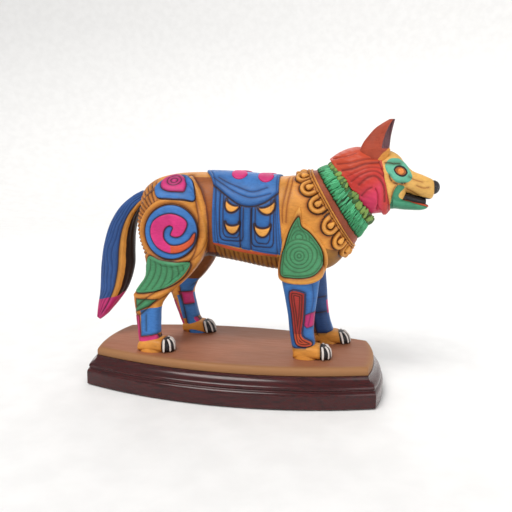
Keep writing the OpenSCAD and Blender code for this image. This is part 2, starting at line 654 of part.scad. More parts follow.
module rump_shield(side) { color([0.18, 0.42, 0.75]) hind_ornament(RUMP, side, 0, relief, 4); }
module hip_disc(side) { color([0.18, 0.4, 0.72]) hind_ornament(disc_outline, side, 0, relief * 0.6); }
module hip_spiral(side) {
    color([0.85, 0.2, 0.5]) hind_ornament(comma_outline, side, relief * 0.6, relief * 1.2);
}
module thigh_panel(side) { color([0.22, 0.58, 0.36]) hind_ornament(THIGH, side, 0, relief * 0.75); }
module shoulder_shield(side) {
    color([0.87, 0.62, 0.25]) freeform() difference() {
        fore_ornament(SHIELD, side, 0, relief * 1.2);
        side_slab(INLAY, side, 0);
        saddle_body(saddle_thickness);
    }
}
module shoulder_inlay(side) { color([0.25, 0.6, 0.4]) fore_ornament(INLAY, side, 0, relief * 0.8); }
module foreleg_motif(side) {
    color([0.75, 0.2, 0.15]) fore_ornament(side > 0 ? stepped(MOTIF) : MOTIF, side, 0, relief * 0.5);
}

base_felt();
plinth();
cap_board();
cap_screws();
paw_screws();
torso();
foreleg(-1);  // foreleg_right
foreleg(1);  // foreleg_left
hindleg(-1);  // hindleg_right
hindleg(1);  // hindleg_left
claws();
leg_dowels();
neck_dowel();
tail();
tail_dowel();
head();
lower_jaw();
nose();
eyes();
hood();
ear(-1);  // ear_right
ear(1);  // ear_left
ear_dowels();
collar();
collar_beads();
throat_band();
feather_ruff();
leaf_garland();
saddle_cloth();
saddle_crescents();
saddle_spots();
rump_shield(-1);  // rump_shield_right
rump_shield(1);  // rump_shield_left
hip_disc(-1);  // hip_disc_right
hip_disc(1);  // hip_disc_left
hip_spiral(-1);  // hip_spiral_right
hip_spiral(1);  // hip_spiral_left
thigh_panel(-1);  // thigh_panel_right
thigh_panel(1);  // thigh_panel_left
shoulder_shield(-1);  // shoulder_shield_right
shoulder_shield(1);  // shoulder_shield_left
shoulder_inlay(-1);  // shoulder_inlay_right
shoulder_inlay(1);  // shoulder_inlay_left
foreleg_motif(-1);  // foreleg_motif_right
foreleg_motif(1);  // foreleg_motif_left
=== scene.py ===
"""A carved and painted wolf on a moulded plinth, built over its CAD frame.

The tables and outlines below are in millimetres above the cap board, with the nose towards +X.
The wolf's right side is the side of -Y. An outline is drawn for the right side and mirrored for the left.
"""

import math

import bpy
import numpy as np
from mathutils import Matrix, Vector
from mathutils.bvhtree import BVHTree
from mathutils.geometry import delaunay_2d_cdt


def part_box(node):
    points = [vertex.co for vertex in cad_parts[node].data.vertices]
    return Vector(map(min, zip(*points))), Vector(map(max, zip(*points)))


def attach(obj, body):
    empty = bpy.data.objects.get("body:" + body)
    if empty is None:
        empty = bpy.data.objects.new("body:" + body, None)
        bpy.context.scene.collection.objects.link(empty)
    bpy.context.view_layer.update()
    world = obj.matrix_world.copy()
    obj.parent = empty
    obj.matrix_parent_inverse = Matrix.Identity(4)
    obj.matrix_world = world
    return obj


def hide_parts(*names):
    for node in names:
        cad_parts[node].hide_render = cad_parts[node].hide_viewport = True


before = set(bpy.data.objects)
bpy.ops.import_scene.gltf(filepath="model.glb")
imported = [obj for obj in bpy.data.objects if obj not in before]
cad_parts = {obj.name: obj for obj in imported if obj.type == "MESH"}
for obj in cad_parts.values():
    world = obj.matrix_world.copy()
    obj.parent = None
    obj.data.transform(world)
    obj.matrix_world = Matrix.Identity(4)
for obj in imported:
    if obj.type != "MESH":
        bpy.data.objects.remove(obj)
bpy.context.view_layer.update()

MM = 0.001
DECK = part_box("cap_board")[1][2] / MM
BOARD_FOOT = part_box("cap_board")[0][2] / MM
PLINTH_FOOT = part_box("plinth")[0][2] / MM
RIGHT = -1
LEFT = 1
SIDES = ((RIGHT, "right"), (LEFT, "left"))

# Sections of the torso and neck: centre x, centre z, tilt, rise, drop, half width.
TORSO = [
    [-101, 141, 0, 6, 7, 6], [-98, 140, 0, 17, 18, 15], [-91, 138, 0, 27, 29, 24],
    [-78, 137, 0, 35, 36, 31], [-55, 136, 0, 40.5, 40, 35], [-25, 134.5, 0, 43, 42, 35.5],
    [5, 131.5, 0, 45, 43.5, 35.5], [35, 128.5, 3, 46, 46, 35], [58, 129.5, 9, 46, 48, 34],
    [78, 133.5, 20, 46, 50, 33], [93, 144, 30, 40, 42, 31], [103, 153, 34, 33, 34, 27],
    [112, 161, 37, 28, 29, 23], [120, 168, 39, 24, 24, 19]]
# Places of the neck's rings, counted in rows of TORSO.
RING_BAND = 10.15
RING_RUFF = 10.6
RING_GARLAND = 11.6
RING_HOOD = 12.2

# Sections of the right legs: height, rear x, front x, outer y, inner y.
HINDLEG = [
    [170, -70, -48, -22, -6], [162, -81, -37, -31, -6], [148, -91, -27, -39.5, -8],
    [130, -95, -23, -44, -10], [112, -93, -23, -45.5, -12], [98, -88, -26, -45.5, -14],
    [84, -85, -35, -45, -18], [72, -86, -46, -44.5, -22], [62, -94, -56, -44.5, -25],
    [54, -97, -64, -45, -26], [45, -96, -69, -45.5, -27], [32, -94.5, -70, -46, -27],
    [18, -93, -70, -46.5, -27], [6, -91, -66, -48, -26.5], [0, -90, -66, -49, -26]]
FORELEG = [
    [128, 60, 70, -30, -20], [118, 55, 76, -34, -12], [104, 50, 84, -36.5, -10],
    [88, 48, 88, -37.5, -10], [76, 49.5, 86, -37.5, -12], [60, 53, 84.5, -37, -14],
    [42, 56.5, 82.5, -36.5, -15], [26, 58.5, 82, -36, -15], [12, 61, 84, -36.5, -15],
    [0, 63, 86, -37, -14.5]]
# Paws: heel x, toe x, middle y, half width.
HIND_PAW = [-92, -56, -37.5, 11.5]
FORE_PAW = [63, 99, -25.8, 11.3]
STEP_HIND = 24      # how far the left hind paw stands forward of the right one
STEP_FORE = 18
WIDER_FORE = 5
JOIN_HEIGHT = 92    # where the left legs' step has faded out

# Sections of the tail, tip first: centre x, centre z, tilt, rise, drop, half width.
TAIL = [
    [-154, 18.5, 55, 2.5, 2.5, 2], [-147, 29, 58, 8, 8, 6.5], [-139.5, 42, 65, 12.5, 12.5, 10],
    [-133, 58, 74, 17, 17, 12.5], [-129, 78, 86, 19, 20, 14], [-127, 98, 82, 17.5, 18.5, 14],
    [-123, 117, 70, 15, 15.5, 13], [-116, 133, 56, 12, 12.5, 11.5],
    [-106, 145, 42, 9, 9, 9.5], [-97, 152, 38, 7, 7, 8]]
# Upright sections of the skull, snout and lower jaw: x, top, bottom, half width.
SKULL = [
    [116, 186, 152, 14], [124, 194, 148, 18], [134, 199.5, 146, 21], [145, 200.5, 145.5, 22.5],
    [152, 198, 145.5, 22], [157, 194, 147, 20], [160, 189, 150, 17],
    [162.5, 182, 155, 11], [163.5, 174, 162, 4]]
SNOUT = [
    [150, 197, 158, 17], [156, 194.5, 160, 18.5], [160, 190, 161, 17.5], [165, 184.5, 160.5, 15.5],
    [170, 181, 159, 13.2], [178, 178, 156.6, 11.3], [184, 175.5, 155.4, 10], [187.5, 173.5, 156.4, 8.4],
    [189, 170, 160, 5]]
JAW = [
    [151, 161, 146, 19], [156, 158, 145.6, 17], [162, 156.6, 145, 14.6], [170, 154.4, 144.8, 11.8],
    [178, 152.2, 145, 9.4], [183, 150.6, 146.6, 6.4], [184.6, 149.6, 148.2, 3]]
# Sections of the hood: centre x, centre z, tilt, rise, drop, half width.
HOOD = [
    [112, 165, 39, 34.5, 32, 27], [121, 170, 36, 35.5, 35.5, 29.5], [128.5, 172.5, 24, 34, 36, 29],
    [136, 173.5, 17, 29.5, 35, 27.5], [143, 172.5, 13, 28, 29, 24.5]]
# Sections of the right ear: height, rear x, front x, outer y, inner y.
EAR = [
    [186, 120, 142, -19, -8], [198, 118.5, 146, -22, -8], [206, 121, 146.5, -21.5, -10],
    [214, 126.5, 147, -20.5, -12], [221, 133, 148, -20, -14], [228, 144, 149, -19, -17]]

# Paint, in linear colour.
OCHRE = (0.68, 0.275, 0.045)
PALE_OCHRE = (0.76, 0.34, 0.065)
DEEP_OCHRE = (0.34, 0.095, 0.018)
# The next three browns are painted shade: inside the upper thigh, on the belly and chest, and under the
# body.
THIGH_SHADE = (0.20, 0.065, 0.016)
BELLY_SHADE = (0.34, 0.15, 0.025)
UNDERSIDE_SHADE = (0.085, 0.024, 0.010)
UMBER = (0.028, 0.011, 0.007)
BLUE = (0.040, 0.165, 0.46)
DEEP_BLUE = (0.030, 0.095, 0.30)
# The darker blue on the saddle cloth's lower part is painted shade.
SADDLE_SHADE_BLUE = (0.030, 0.145, 0.42)
MAGENTA = (0.62, 0.030, 0.185)
ORANGE_RED = (0.58, 0.085, 0.028)
DARK_RED = (0.36, 0.028, 0.022)
GREEN = (0.060, 0.27, 0.12)
EMERALD = (0.040, 0.30, 0.12)
BRIGHT_EMERALD = (0.085, 0.46, 0.21)
LEAF_SHADE = (0.045, 0.13, 0.035)
OLIVE = (0.19, 0.32, 0.07)
TURQUOISE = (0.125, 0.47, 0.32)
SEA_GREEN = (0.050, 0.27, 0.15)
AMBER = (0.80, 0.26, 0.06)
BLACK = (0.012, 0.010, 0.012)
CLAW = (0.62, 0.57, 0.54)
LEATHER_RED = (0.27, 0.055, 0.020)


# ---------- curves and distances ----------

def row_at(rows, u):
    """The rows of a table at places u, which may lie between two rows, as in the CAD model."""
    rows = np.asarray(rows, float)
    last = len(rows) - 1
    i = np.clip(np.floor(u).astype(int), 0, last - 1)
    t = (np.asarray(u, float) - i)[..., None]
    a, b = rows[np.maximum(i - 1, 0)], rows[i]
    c, d = rows[i + 1], rows[np.minimum(i + 2, last)]
    return (2 * b + (c - a) * t + (2 * a - 5 * b + 4 * c - d) * t**2 + (3 * b - a - 3 * c + d) * t**3) / 2


def curve(points, closed=False, between=8):
    """A smooth line through the points."""
    p = np.asarray(points, float)
    if closed:
        u = np.arange(len(p) * between) / between
        p = np.vstack([p[-1:], p, p[:2]])
        return row_at(p, u + 1)
    return row_at(p, np.linspace(0, len(p) - 1, (len(p) - 1) * between + 1))


def arc(cx, cz, r, start, end, count=24):
    """Points of a circle's arc, with angles in degrees."""
    a = np.radians(np.linspace(start, end, count))
    return np.column_stack([cx + r * np.cos(a), cz + r * np.sin(a)])


def turns(count):
    """Angles that go round once."""
    return np.arange(count) * 2 * math.pi / count


def line_distance(points, x, z, closed=False):
    """How far each (x, z) is from a line."""
    p = np.asarray(points, float)
    ends = np.roll(p, -1, axis=0) if closed else p[1:]
    best = np.full(np.shape(x), np.inf)
    for (ax, az), (bx, bz) in zip(p, ends):
        ex, ez = bx - ax, bz - az
        t = np.clip(((x - ax) * ex + (z - az) * ez) / (ex * ex + ez * ez + 1e-12), 0, 1)
        best = np.minimum(best, (x - ax - t * ex) ** 2 + (z - az - t * ez) ** 2)
    return np.sqrt(best)


def inside(points, x, z):
    """How far each (x, z) is inside a closed outline; negative outside."""
    p = np.asarray(points, float)
    odd = np.zeros(np.shape(x), bool)
    for (ax, az), (bx, bz) in zip(p, np.roll(p, -1, axis=0)):
        if az != bz:
            odd ^= ((az > z) != (bz > z)) & (x < (bx - ax) * (z - az) / (bz - az) + ax)
    d = line_distance(p, x, z, closed=True)
    return np.where(odd, d, -d)


def ease(t):
    """0 below 0, 1 above 1 and smooth between."""
    t = np.clip(t, 0, 1)
    return t * t * (3 - 2 * t)


def bell(distance, width):
    """1 on a line, falling off to 0 beside it."""
    return np.exp(-((distance / width) ** 2))


# ---------- surfaces ----------

def rounded(t, power):
    """A cosine or sine bent so that its curve is squarer than a circle."""
    return np.sign(t) * np.abs(t) ** (2 / power)


def tilted(rows, u, angle, grow=0.0):
    """Points of a table of tilted sections, grown outwards."""
    r = row_at(rows, u)
    c, s = rounded(np.cos(angle), 2.25), rounded(np.sin(angle), 2.25)
    v = s * (np.where(s > 0, r[..., 3], r[..., 4]) + grow)
    tilt = np.radians(r[..., 2])
    return np.stack([r[..., 0] - v * np.sin(tilt), c * (r[..., 5] + grow), r[..., 1] + v * np.cos(tilt)], -1)


def level(rows, u, angle, power=2.6):
    """Points of a table of level sections."""
    r = row_at(rows, u)
    c, s = rounded(np.cos(angle), power), rounded(np.sin(angle), power)
    return np.stack([(r[..., 1] + r[..., 2]) / 2 + c * (r[..., 2] - r[..., 1]) / 2,
                     (r[..., 3] + r[..., 4]) / 2 + s * np.abs(r[..., 4] - r[..., 3]) / 2, r[..., 0]], -1)


def upright(rows, u, angle, middle=0.0, power=2.3):
    """Points of a table of upright sections."""
    r = row_at(rows, u)
    c, s = rounded(np.cos(angle), power), rounded(np.sin(angle), power)
    return np.stack([r[..., 0], middle + c * r[..., 3],
                     (r[..., 1] + r[..., 2]) / 2 + s * (r[..., 1] - r[..., 2]) / 2], -1)


def table_places(rows, along, around, reverse=False):
    """Places along a table's rows and angles round it, as two grids."""
    u = np.linspace(0, len(rows) - 1, along)
    return np.meshgrid(u[::-1] if reverse else u, turns(around), indexing="ij")


def mesh_grid(surface, rows, along, around, reverse=False, **kind):
    """A grid of points on a table's surface. It runs towards +X or +Z and goes round once."""
    return surface(rows, *table_places(rows, along, around, reverse), **kind)


def grid_normals(p):
    """Outward normals of a grid that goes round once."""
    across = np.roll(p, -1, axis=1) - np.roll(p, 1, axis=1)
    n = np.cross(across, np.gradient(p, axis=0))
    return n / np.maximum(np.linalg.norm(n, axis=-1, keepdims=True), 1e-9)


# The shade beside a groove: its strength, and its width as a multiple of the groove's.
HALO = 0.4
HALO_SPREAD = 3.2


class Carving:
    """Surface points with the heights carved on them and the distances that their paint follows."""

    def __init__(self, points, normals=None):
        self.points = points
        self.normals = grid_normals(points) if normals is None else normals
        self.x, self.y, self.z = np.moveaxis(points, -1, 0)
        self.height = np.zeros(points.shape[:-1])
        # Dark antiquing in the cuts, deepened by painted shade in them, beside them and between parts.
        self.wash = np.zeros(points.shape[:-1])
        self.paint = {}

    def ridge(self, distance, width, height, where=1.0):
        self.height += height * bell(distance, width) * where

    def groove(self, distance, width, depth, where=1.0, wash=0.9):
        cut = bell(distance, width) * where
        shade = HALO * bell(distance, HALO_SPREAD * width) * where
        self.height -= depth * cut
        self.wash = np.maximum(self.wash, np.maximum(cut, shade) * wash)

    def groove_along(self, points, width, depth, where=1.0, wash=0.9):
        """A groove along a smooth line."""
        self.groove(line_distance(curve(points), self.x, self.z), width, depth, where, wash)

    def colour(self, name, depth_inside):
        old = self.paint.get(name)
        self.paint[name] = depth_inside if old is None else np.maximum(old, depth_inside)

    def carved(self):
        return self.points + self.normals * self.height[..., None]


# ---------- objects ----------

def new_object(name, verts, faces, attributes=None):
    """A smooth mesh object from points in figure millimetres."""
    mesh = bpy.data.meshes.new(name)
    placed = (np.asarray(verts, float) + [0, 0, DECK]) * MM
    mesh.from_pydata(placed.tolist(), [], [tuple(f) for f in faces])
    for key, values in (attributes or {}).items():
        layer = mesh.attributes.new(key, "FLOAT", "POINT")
        layer.data.foreach_set("value", np.asarray(values, np.float32).ravel())
    mesh.polygons.foreach_set("use_smooth", [True] * len(mesh.polygons))
    mesh.update()
    obj = bpy.data.objects.new(name, mesh)
    bpy.context.collection.objects.link(obj)
    return obj


def quads(m, n, closed=False):
    """Quads of m rows of n points that go round once; closed also joins the last row to the first."""
    i, k = np.meshgrid(np.arange(m if closed else m - 1), np.arange(n), indexing="ij")
    beside, ahead = (k + 1) % n, (i + 1) % m
    corners = [i * n + k, i * n + beside, ahead * n + beside, ahead * n + k]
    return np.stack(corners, -1).reshape(-1, 4).tolist()


def grid_faces(m, n):
    """Quads and end fans of a closed grid whose two end centres come after its m * n points."""
    k = np.arange(n)
    start = np.stack([np.full(n, m * n), (k + 1) % n, k], -1).tolist()
    top = (m - 1) * n
    end = np.stack([np.full(n, m * n + 1), top + k, top + (k + 1) % n], -1).tolist()
    return quads(m, n) + start + end


def closed_values(v):
    """A grid's values with those of its two end centres."""
    v = np.asarray(v)
    flat = v.reshape((-1,) + v.shape[2:])
    return np.concatenate([flat, v[0].mean(axis=0)[None], v[-1].mean(axis=0)[None]])


def carved_attributes(c, keep=closed_values):
    """The paint distances and the dark antiquing with its painted shade, laid out as the object's points
    are.
    """
    values = {key: keep(np.clip(v, -4, 4)) for key, v in c.paint.items()}
    values["wash"] = keep(c.wash)
    return values


def flip(verts, faces):
    """The mirror image on the wolf's other side, with its faces turned back outwards."""
    return np.asarray(verts) * [1, -1, 1], [tuple(reversed(f)) for f in faces]


def tube(p):
    """The points and faces of a grid that is closed at both ends."""
    return closed_values(p), grid_faces(*p.shape[:2])


def carved_part(c):
    """A carving as (verts, faces, attributes)."""
    return *tube(c.carved()), carved_attributes(c)


def carved_object(name, c, mirror=False):
    """A carving as an object of its own."""
    verts, faces, values = carved_part(c)
    if mirror:
        verts, faces = flip(verts, faces)
    return new_object(name, verts, faces, values)


def merged_object(name, parts):
    """One object from several (verts, faces, attributes)."""
    verts, faces, attributes, offset = [], [], {}, 0
    keys = sorted({k for p in parts for k in p[2]})
    for v, f, values in parts:
        verts.append(np.asarray(v, float))
        faces += [tuple(i + offset for i in face) for face in f]
        for k in keys:
            attributes.setdefault(k, []).append(np.asarray(values.get(k, np.full(len(v), -1.0))).ravel())
        offset += len(v)
    return new_object(name, np.vstack(verts), faces, {k: np.concatenate(a) for k, a in attributes.items()})


def finish_piece(obj, material, node):
    """Gives a piece its material, hangs it under the root and hides the CAD node that it stands for."""
    obj.data.materials.clear()
    obj.data.materials.append(material)
    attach(obj, "root")
    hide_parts(node)
    return obj


# ---------- materials ----------

class Nodes:
    """A material's node tree with short calls for what these materials use."""

    def __init__(self, name):
        self.material = bpy.data.materials.new(name)
        self.material.use_nodes = True
        self.tree = self.material.node_tree
        self.shader = self.tree.nodes["Principled BSDF"]
        self.place = self.new("ShaderNodeTexCoord").outputs["Object"]

    def new(self, kind, **settings):
        node = self.tree.nodes.new(kind)
        for key, value in settings.items():
            setattr(node, key, value)
        return node

    def link(self, source, target):
        self.tree.links.new(source, target)

    def noise(self, scale, detail=3.0, stretch=(1, 1, 1), roughness=0.55, distortion=0.0):
        mapping = self.new("ShaderNodeMapping")
        mapping.inputs["Scale"].default_value = stretch
        self.link(self.place, mapping.inputs["Vector"])
        noise = self.new("ShaderNodeTexNoise")
        settings = {"Scale": scale, "Detail": detail, "Roughness": roughness, "Distortion": distortion}
        for key, number in settings.items():
            noise.inputs[key].default_value = number
        self.link(mapping.outputs["Vector"], noise.inputs["Vector"])
        return noise.outputs["Fac"]

    def spread(self, value, low, high, to_low, to_high, smooth=True):
        node = self.new("ShaderNodeMapRange", interpolation_type="SMOOTHSTEP" if smooth else "LINEAR")
        for key, number in zip(("From Min", "From Max", "To Min", "To Max"), (low, high, to_low, to_high)):
            node.inputs[key].default_value = number
        self.link(value, node.inputs["Value"])
        return node.outputs["Result"]

    def math(self, operation, a, b):
        node = self.new("ShaderNodeMath", operation=operation)
        for socket, value in zip(node.inputs, (a, b)):
            if isinstance(value, (int, float)):
                socket.default_value = value
            else:
                self.link(value, socket)
        return node.outputs["Value"]

    def attribute(self, name):
        return self.new("ShaderNodeAttribute", attribute_name=name).outputs["Fac"]

    def mix(self, factor, a, b, blend="MIX"):
        node = self.new("ShaderNodeMix", data_type="RGBA", blend_type=blend)
        if isinstance(factor, (int, float)):
            node.inputs["Factor"].default_value = factor
        else:
            self.link(factor, node.inputs["Factor"])
        for socket, value in ((node.inputs[6], a), (node.inputs[7], b)):
            if isinstance(value, tuple):
                socket.default_value = (*value, 1)
            else:
                self.link(value, socket)
        return node.outputs[2]

    def surface(self, colour, grain, roughness, **sockets):
        """Links the colour and a roughness that follows the grain, and sets the shader's other sockets."""
        self.link(colour, self.shader.inputs["Base Color"])
        self.link(self.spread(grain, 0.3, 0.7, *roughness), self.shader.inputs["Roughness"])
        for key, number in sockets.items():
            self.shader.inputs[key.replace("_", " ")].default_value = number

    def bump(self, height, strength, distance):
        node = self.new("ShaderNodeBump")
        node.inputs["Strength"].default_value = strength
        node.inputs["Distance"].default_value = distance
        self.link(height, node.inputs["Height"])
        self.link(node.outputs["Normal"], self.shader.inputs["Normal"])


# The tint that dark antiquing and its painted shade lay on the paint beside a cut.
BROWN_WASH_SHADE = (0.42, 0.24, 0.15)
BLUE_WASH_SHADE = (0.34, 0.40, 0.52)


def darker(colour, by):
    """A colour times a number below 1."""
    return tuple(c * by for c in colour)


def painted_wood(name, base, layers=(), wash=True, gloss=0.46, streak=(1, 1, 3), wash_shade=BROWN_WASH_SHADE):
    """Hand-painted carving: brushed colour, painted areas with uneven edges, and dark antiquing in the cuts
    that is partly painted shade, which spreads beside them.
    """
    if name in bpy.data.materials:
        return bpy.data.materials[name]
    n = Nodes(name)
    brush = n.noise(260, 3, streak, 0.6, 0.4)
    patchy = n.noise(45, 2)
    wobble = n.spread(n.noise(170, 2), 0.3, 0.7, -0.22, 0.22, smooth=False)
    worn = n.spread(patchy, 0.35, 0.7, 0.0, 0.7)
    colour = n.mix(worn, base, darker(base, 0.68))
    for key, paint in layers:
        edge = n.math("ADD", n.attribute(key), wobble)
        tint = n.mix(worn, paint, darker(paint, 0.68))
        colour = n.mix(n.spread(edge, -0.12, 0.12, 0.0, 1.0), colour, tint)
    colour = n.mix(n.spread(brush, 0.45, 0.75, 0.0, 0.22), colour, (1.0, 0.92, 0.82), "SOFT_LIGHT")
    colour = n.mix(n.spread(brush, 0.25, 0.5, 0.3, 0.0), colour, (0.45, 0.40, 0.38), "MULTIPLY")
    if wash:
        # Painted shade beside the cuts, then dark antiquing with painted shade in them.
        halo = n.spread(n.attribute("wash"), 0.03, 0.4, 0.0, 0.75, smooth=False)
        colour = n.mix(halo, colour, wash_shade, "MULTIPLY")
        colour = n.mix(n.spread(n.attribute("wash"), 0.35, 0.9, 0.0, 0.95), colour, UMBER)
    n.surface(colour, brush, (gloss - 0.07, gloss + 0.13), Specular_IOR_Level=0.32)
    n.bump(n.math("ADD", brush, n.math("MULTIPLY", n.noise(900, 2), 0.4)), 0.35, 0.0004)
    return n.material


def mahogany():
    """Dark stained wood under satin lacquer, with its grain along the plinth."""
    n = Nodes("mahogany")
    grain = n.noise(60, 6, (0.6, 9, 9), 0.6, 1.2)
    pores = n.noise(900, 2, (0.12, 1, 1))
    colour = n.mix(n.spread(grain, 0.35, 0.68, 0.0, 1.0), (0.060, 0.009, 0.010), (0.020, 0.004, 0.005))
    colour = n.mix(n.spread(pores, 0.6, 0.75, 0.0, 0.45), colour, (0.015, 0.005, 0.005))
    n.surface(colour, grain, (0.24, 0.32), Specular_IOR_Level=0.15, Coat_Weight=0.5, Coat_Roughness=0.14)
    n.bump(n.math("ADD", grain, n.math("MULTIPLY", pores, 0.5)), 0.05, 0.0003)
    return n.material


def tan_board():
    """Tan board, browner and more olive towards its rim, with darker patches scattered at random."""
    n = Nodes("tan_board")
    grain = n.noise(60, 5, (0.5, 8, 8), 0.6, 0.8)
    patchy = n.noise(13, 3, (1, 1.6, 1))
    colour = n.mix(n.spread(grain, 0.35, 0.7, 0.0, 0.45), (0.36, 0.140, 0.072), (0.27, 0.10, 0.052))
    colour = n.mix(n.spread(patchy, 0.42, 0.62, 0.0, 0.65), colour, (0.25, 0.10, 0.05))
    colour = n.mix(n.spread(n.attribute("inward"), 0.0, 9.0, 0.85, 0.0), colour, (0.31, 0.15, 0.058))
    n.surface(colour, grain, (0.5, 0.66), Specular_IOR_Level=0.3)
    n.bump(grain, 0.08, 0.0003)
    return n.material


def grained(name, noise, start, colours, roughness, bump, **sockets):
    """A material whose colour, roughness and bump all follow one noise."""
    n = Nodes(name)
    grain = n.noise(*noise)
    n.surface(n.mix(n.spread(grain, start, 0.7, 0.0, 1.0), *colours), grain, roughness, **sockets)
    n.bump(grain, *bump)
    return n.material


def felt():
    return grained("felt", (1500, 4, (1, 1, 1), 0.8, 1.0), 0.3, [(0.02, 0.06, 0.035), (0.05, 0.12, 0.07)],
                   (0.85, 1.0), (0.5, 0.0004), Sheen_Weight=0.4)


def screw_steel():
    return grained("screw_steel", (900, 3, (1, 1, 8)), 0.3, [(0.45, 0.45, 0.44), (0.62, 0.62, 0.6)],
                   (0.3, 0.5), (0.1, 0.0002), Metallic=1.0)


def dowel_wood():
    colours = [(0.55, 0.36, 0.18), (0.38, 0.22, 0.10)]
    return grained("dowel_wood", (160, 5, (3, 3, 0.4), 0.6, 0.6), 0.35, colours, (0.55, 0.7), (0.2, 0.0003))


def pale_floor():
    return grained("pale_floor", (30, 4), 0.3, [(0.86, 0.86, 0.86), (0.90, 0.90, 0.90)],
                   (0.75, 0.9), (0.02, 0.0005))


# ---------- base ----------

BOARD_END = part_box("cap_board")[1][0] / MM
BOARD_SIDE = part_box("cap_board")[1][1] / MM
FOOT_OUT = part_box("plinth")[1][0] / MM - BOARD_END
# How far the board's long sides and its ends bow outwards.
BOARD_BOW = 22.5
END_BOW = 6


def arc_radius(half_chord, bow):
    """The radius of an arc from half its chord and how far it bows."""
    return (half_chord**2 + bow**2) / (2 * bow)


SIDE_RADIUS = arc_radius(BOARD_END - END_BOW, BOARD_BOW)
END_RADIUS = arc_radius(BOARD_SIDE - BOARD_BOW, END_BOW)
# The moulding from the foot up: share of the way out to the foot, share of the plinth's height.
MOULDING = [
    [1, 0], [1, 0.2], [1, 0.37], [0.99, 0.44], [0.95, 0.49], [0.87, 0.53], [0.77, 0.555], [0.72, 0.575],
    [0.73, 0.6], [0.79, 0.625], [0.8, 0.66], [0.74, 0.71], [0.6, 0.755], [0.4, 0.8], [0.22, 0.86],
    [0.1, 0.93], [0.05, 1]]
# The board's edge from below: distance outside its plan, and height from its foot; the top is round.
BOARD_EDGE = [[-0.6, 0], [0, 0.6], [0, 4.6], [-0.15, 5.5], [-0.7, 6.7], [-1.6, 7.5], [-3.0, 7.93], [-4.5, 8],
              [-8, 8], [-14, 8], [-26, 8], [-40, 8]]


def plan_ring(out, z, side_steps=48, end_steps=24):
    """The base's outline at a height, a distance outside the board: four bowed sides."""
    def side(x):
        return np.sqrt((SIDE_RADIUS + out) ** 2 - x * x) - SIDE_RADIUS + BOARD_SIDE

    def end(y):
        return np.sqrt((END_RADIUS + out) ** 2 - y * y) - END_RADIUS + BOARD_END

    corner = BOARD_END - END_BOW + out
    for _ in range(5):
        corner = end(side(corner))
    x = np.linspace(-corner, corner, side_steps + 1)
    y = np.linspace(-side(corner), side(corner), end_steps + 1)[1:-1]
    ring = np.vstack([np.column_stack([x, -side(x)]), np.column_stack([end(y), y]),
                      np.column_stack([-x, side(x)]), np.column_stack([-end(y), -y])])
    return np.column_stack([ring, np.full(len(ring), z)])


def ring_object(name, rings, attributes=None):
    """A stack of level rings, with one value of each attribute for every ring."""
    p = np.array(rings)
    values = {}
    for key, v in (attributes or {}).items():
        values[key] = closed_values(np.repeat(np.array(v)[:, None], p.shape[1], 1))
    return new_object(name, *tube(p), values)


def sharpen(obj, angle):
    """Marks the edges that turn by more than an angle in degrees as sharp."""
    obj.data.set_sharp_from_angle(angle=math.radians(angle))
    return obj


def base_pieces():
    """The moulded plinth and the board on it."""
    height = BOARD_FOOT - PLINTH_FOOT
    rings = [plan_ring(o * FOOT_OUT, PLINTH_FOOT - DECK + h * height) for o, h in curve(MOULDING, between=4)]
    plinth = sharpen(ring_object("plinth_moulding", rings), 35)
    finish_piece(plinth, mahogany(), "plinth")
    rings = [plan_ring(o, BOARD_FOOT - DECK + h) for o, h in BOARD_EDGE]
    inward = [max(0.0, -o) for o, _ in BOARD_EDGE]
    board = sharpen(ring_object("board", rings, {"inward": inward}), 50)
    finish_piece(board, tan_board(), "cap_board")


# ---------- outlines on the sides, x and z of the right side ----------

DISC = (-56.5, 120)
DISC_R = 26
SADDLE_HEM = [[-17, 112], [0, 107], [20, 104], [44, 102]]
SHIELD = [[66, 147], [58, 133], [51, 117], [47.5, 101], [46, 88], [47, 79], [52, 75.5], [63, 74], [75, 74.5],
          [84, 77.5], [90, 84.5], [93, 95], [91.5, 106], [86, 116], [77, 127], [69, 133]]
INLAY = [[65, 138], [58, 127], [53.5, 113], [51, 99], [50.5, 82], [60, 80], [72, 80.5], [81, 83.5],
         [86.5, 90], [88.5, 98], [87.5, 106], [83, 114.5], [75.5, 123.5], [68, 129]]
RUMP = [[-77, 163], [-76, 156], [-70, 151], [-58, 150.5], [-46, 150], [-36, 149], [-34.5, 156],
        [-37, 165], [-42, 171], [-50, 174], [-60, 174], [-70, 170.5]]
THIGH = [[-78, 96], [-66, 92.5], [-52, 91], [-38, 91], [-42, 81], [-51, 72], [-63, 65], [-78, 60.5],
         [-93, 59], [-90, 66], [-84, 76], [-83, 87]]
MOTIF = [[59, 66], [71.5, 66], [73, 61], [72.5, 40], [71.5, 24], [80, 18], [80, 14], [70, 13.5],
         [65, 19], [61.5, 44]]
HAUNCH_RIDGE = curve([[-44, 170], [-34, 160], [-28.5, 146], [-26, 130], [-26.5, 112], [-30, 98], [-38, 85],
                      [-49, 73], [-61, 63], [-76, 53], [-90, 41]])


def radial(centre, x, z):
    """Distances from a centre, and angles in degrees from 0 to 360."""
    return np.hypot(x - centre[0], z - centre[1]), np.degrees(np.arctan2(z - centre[1], x - centre[0])) % 360


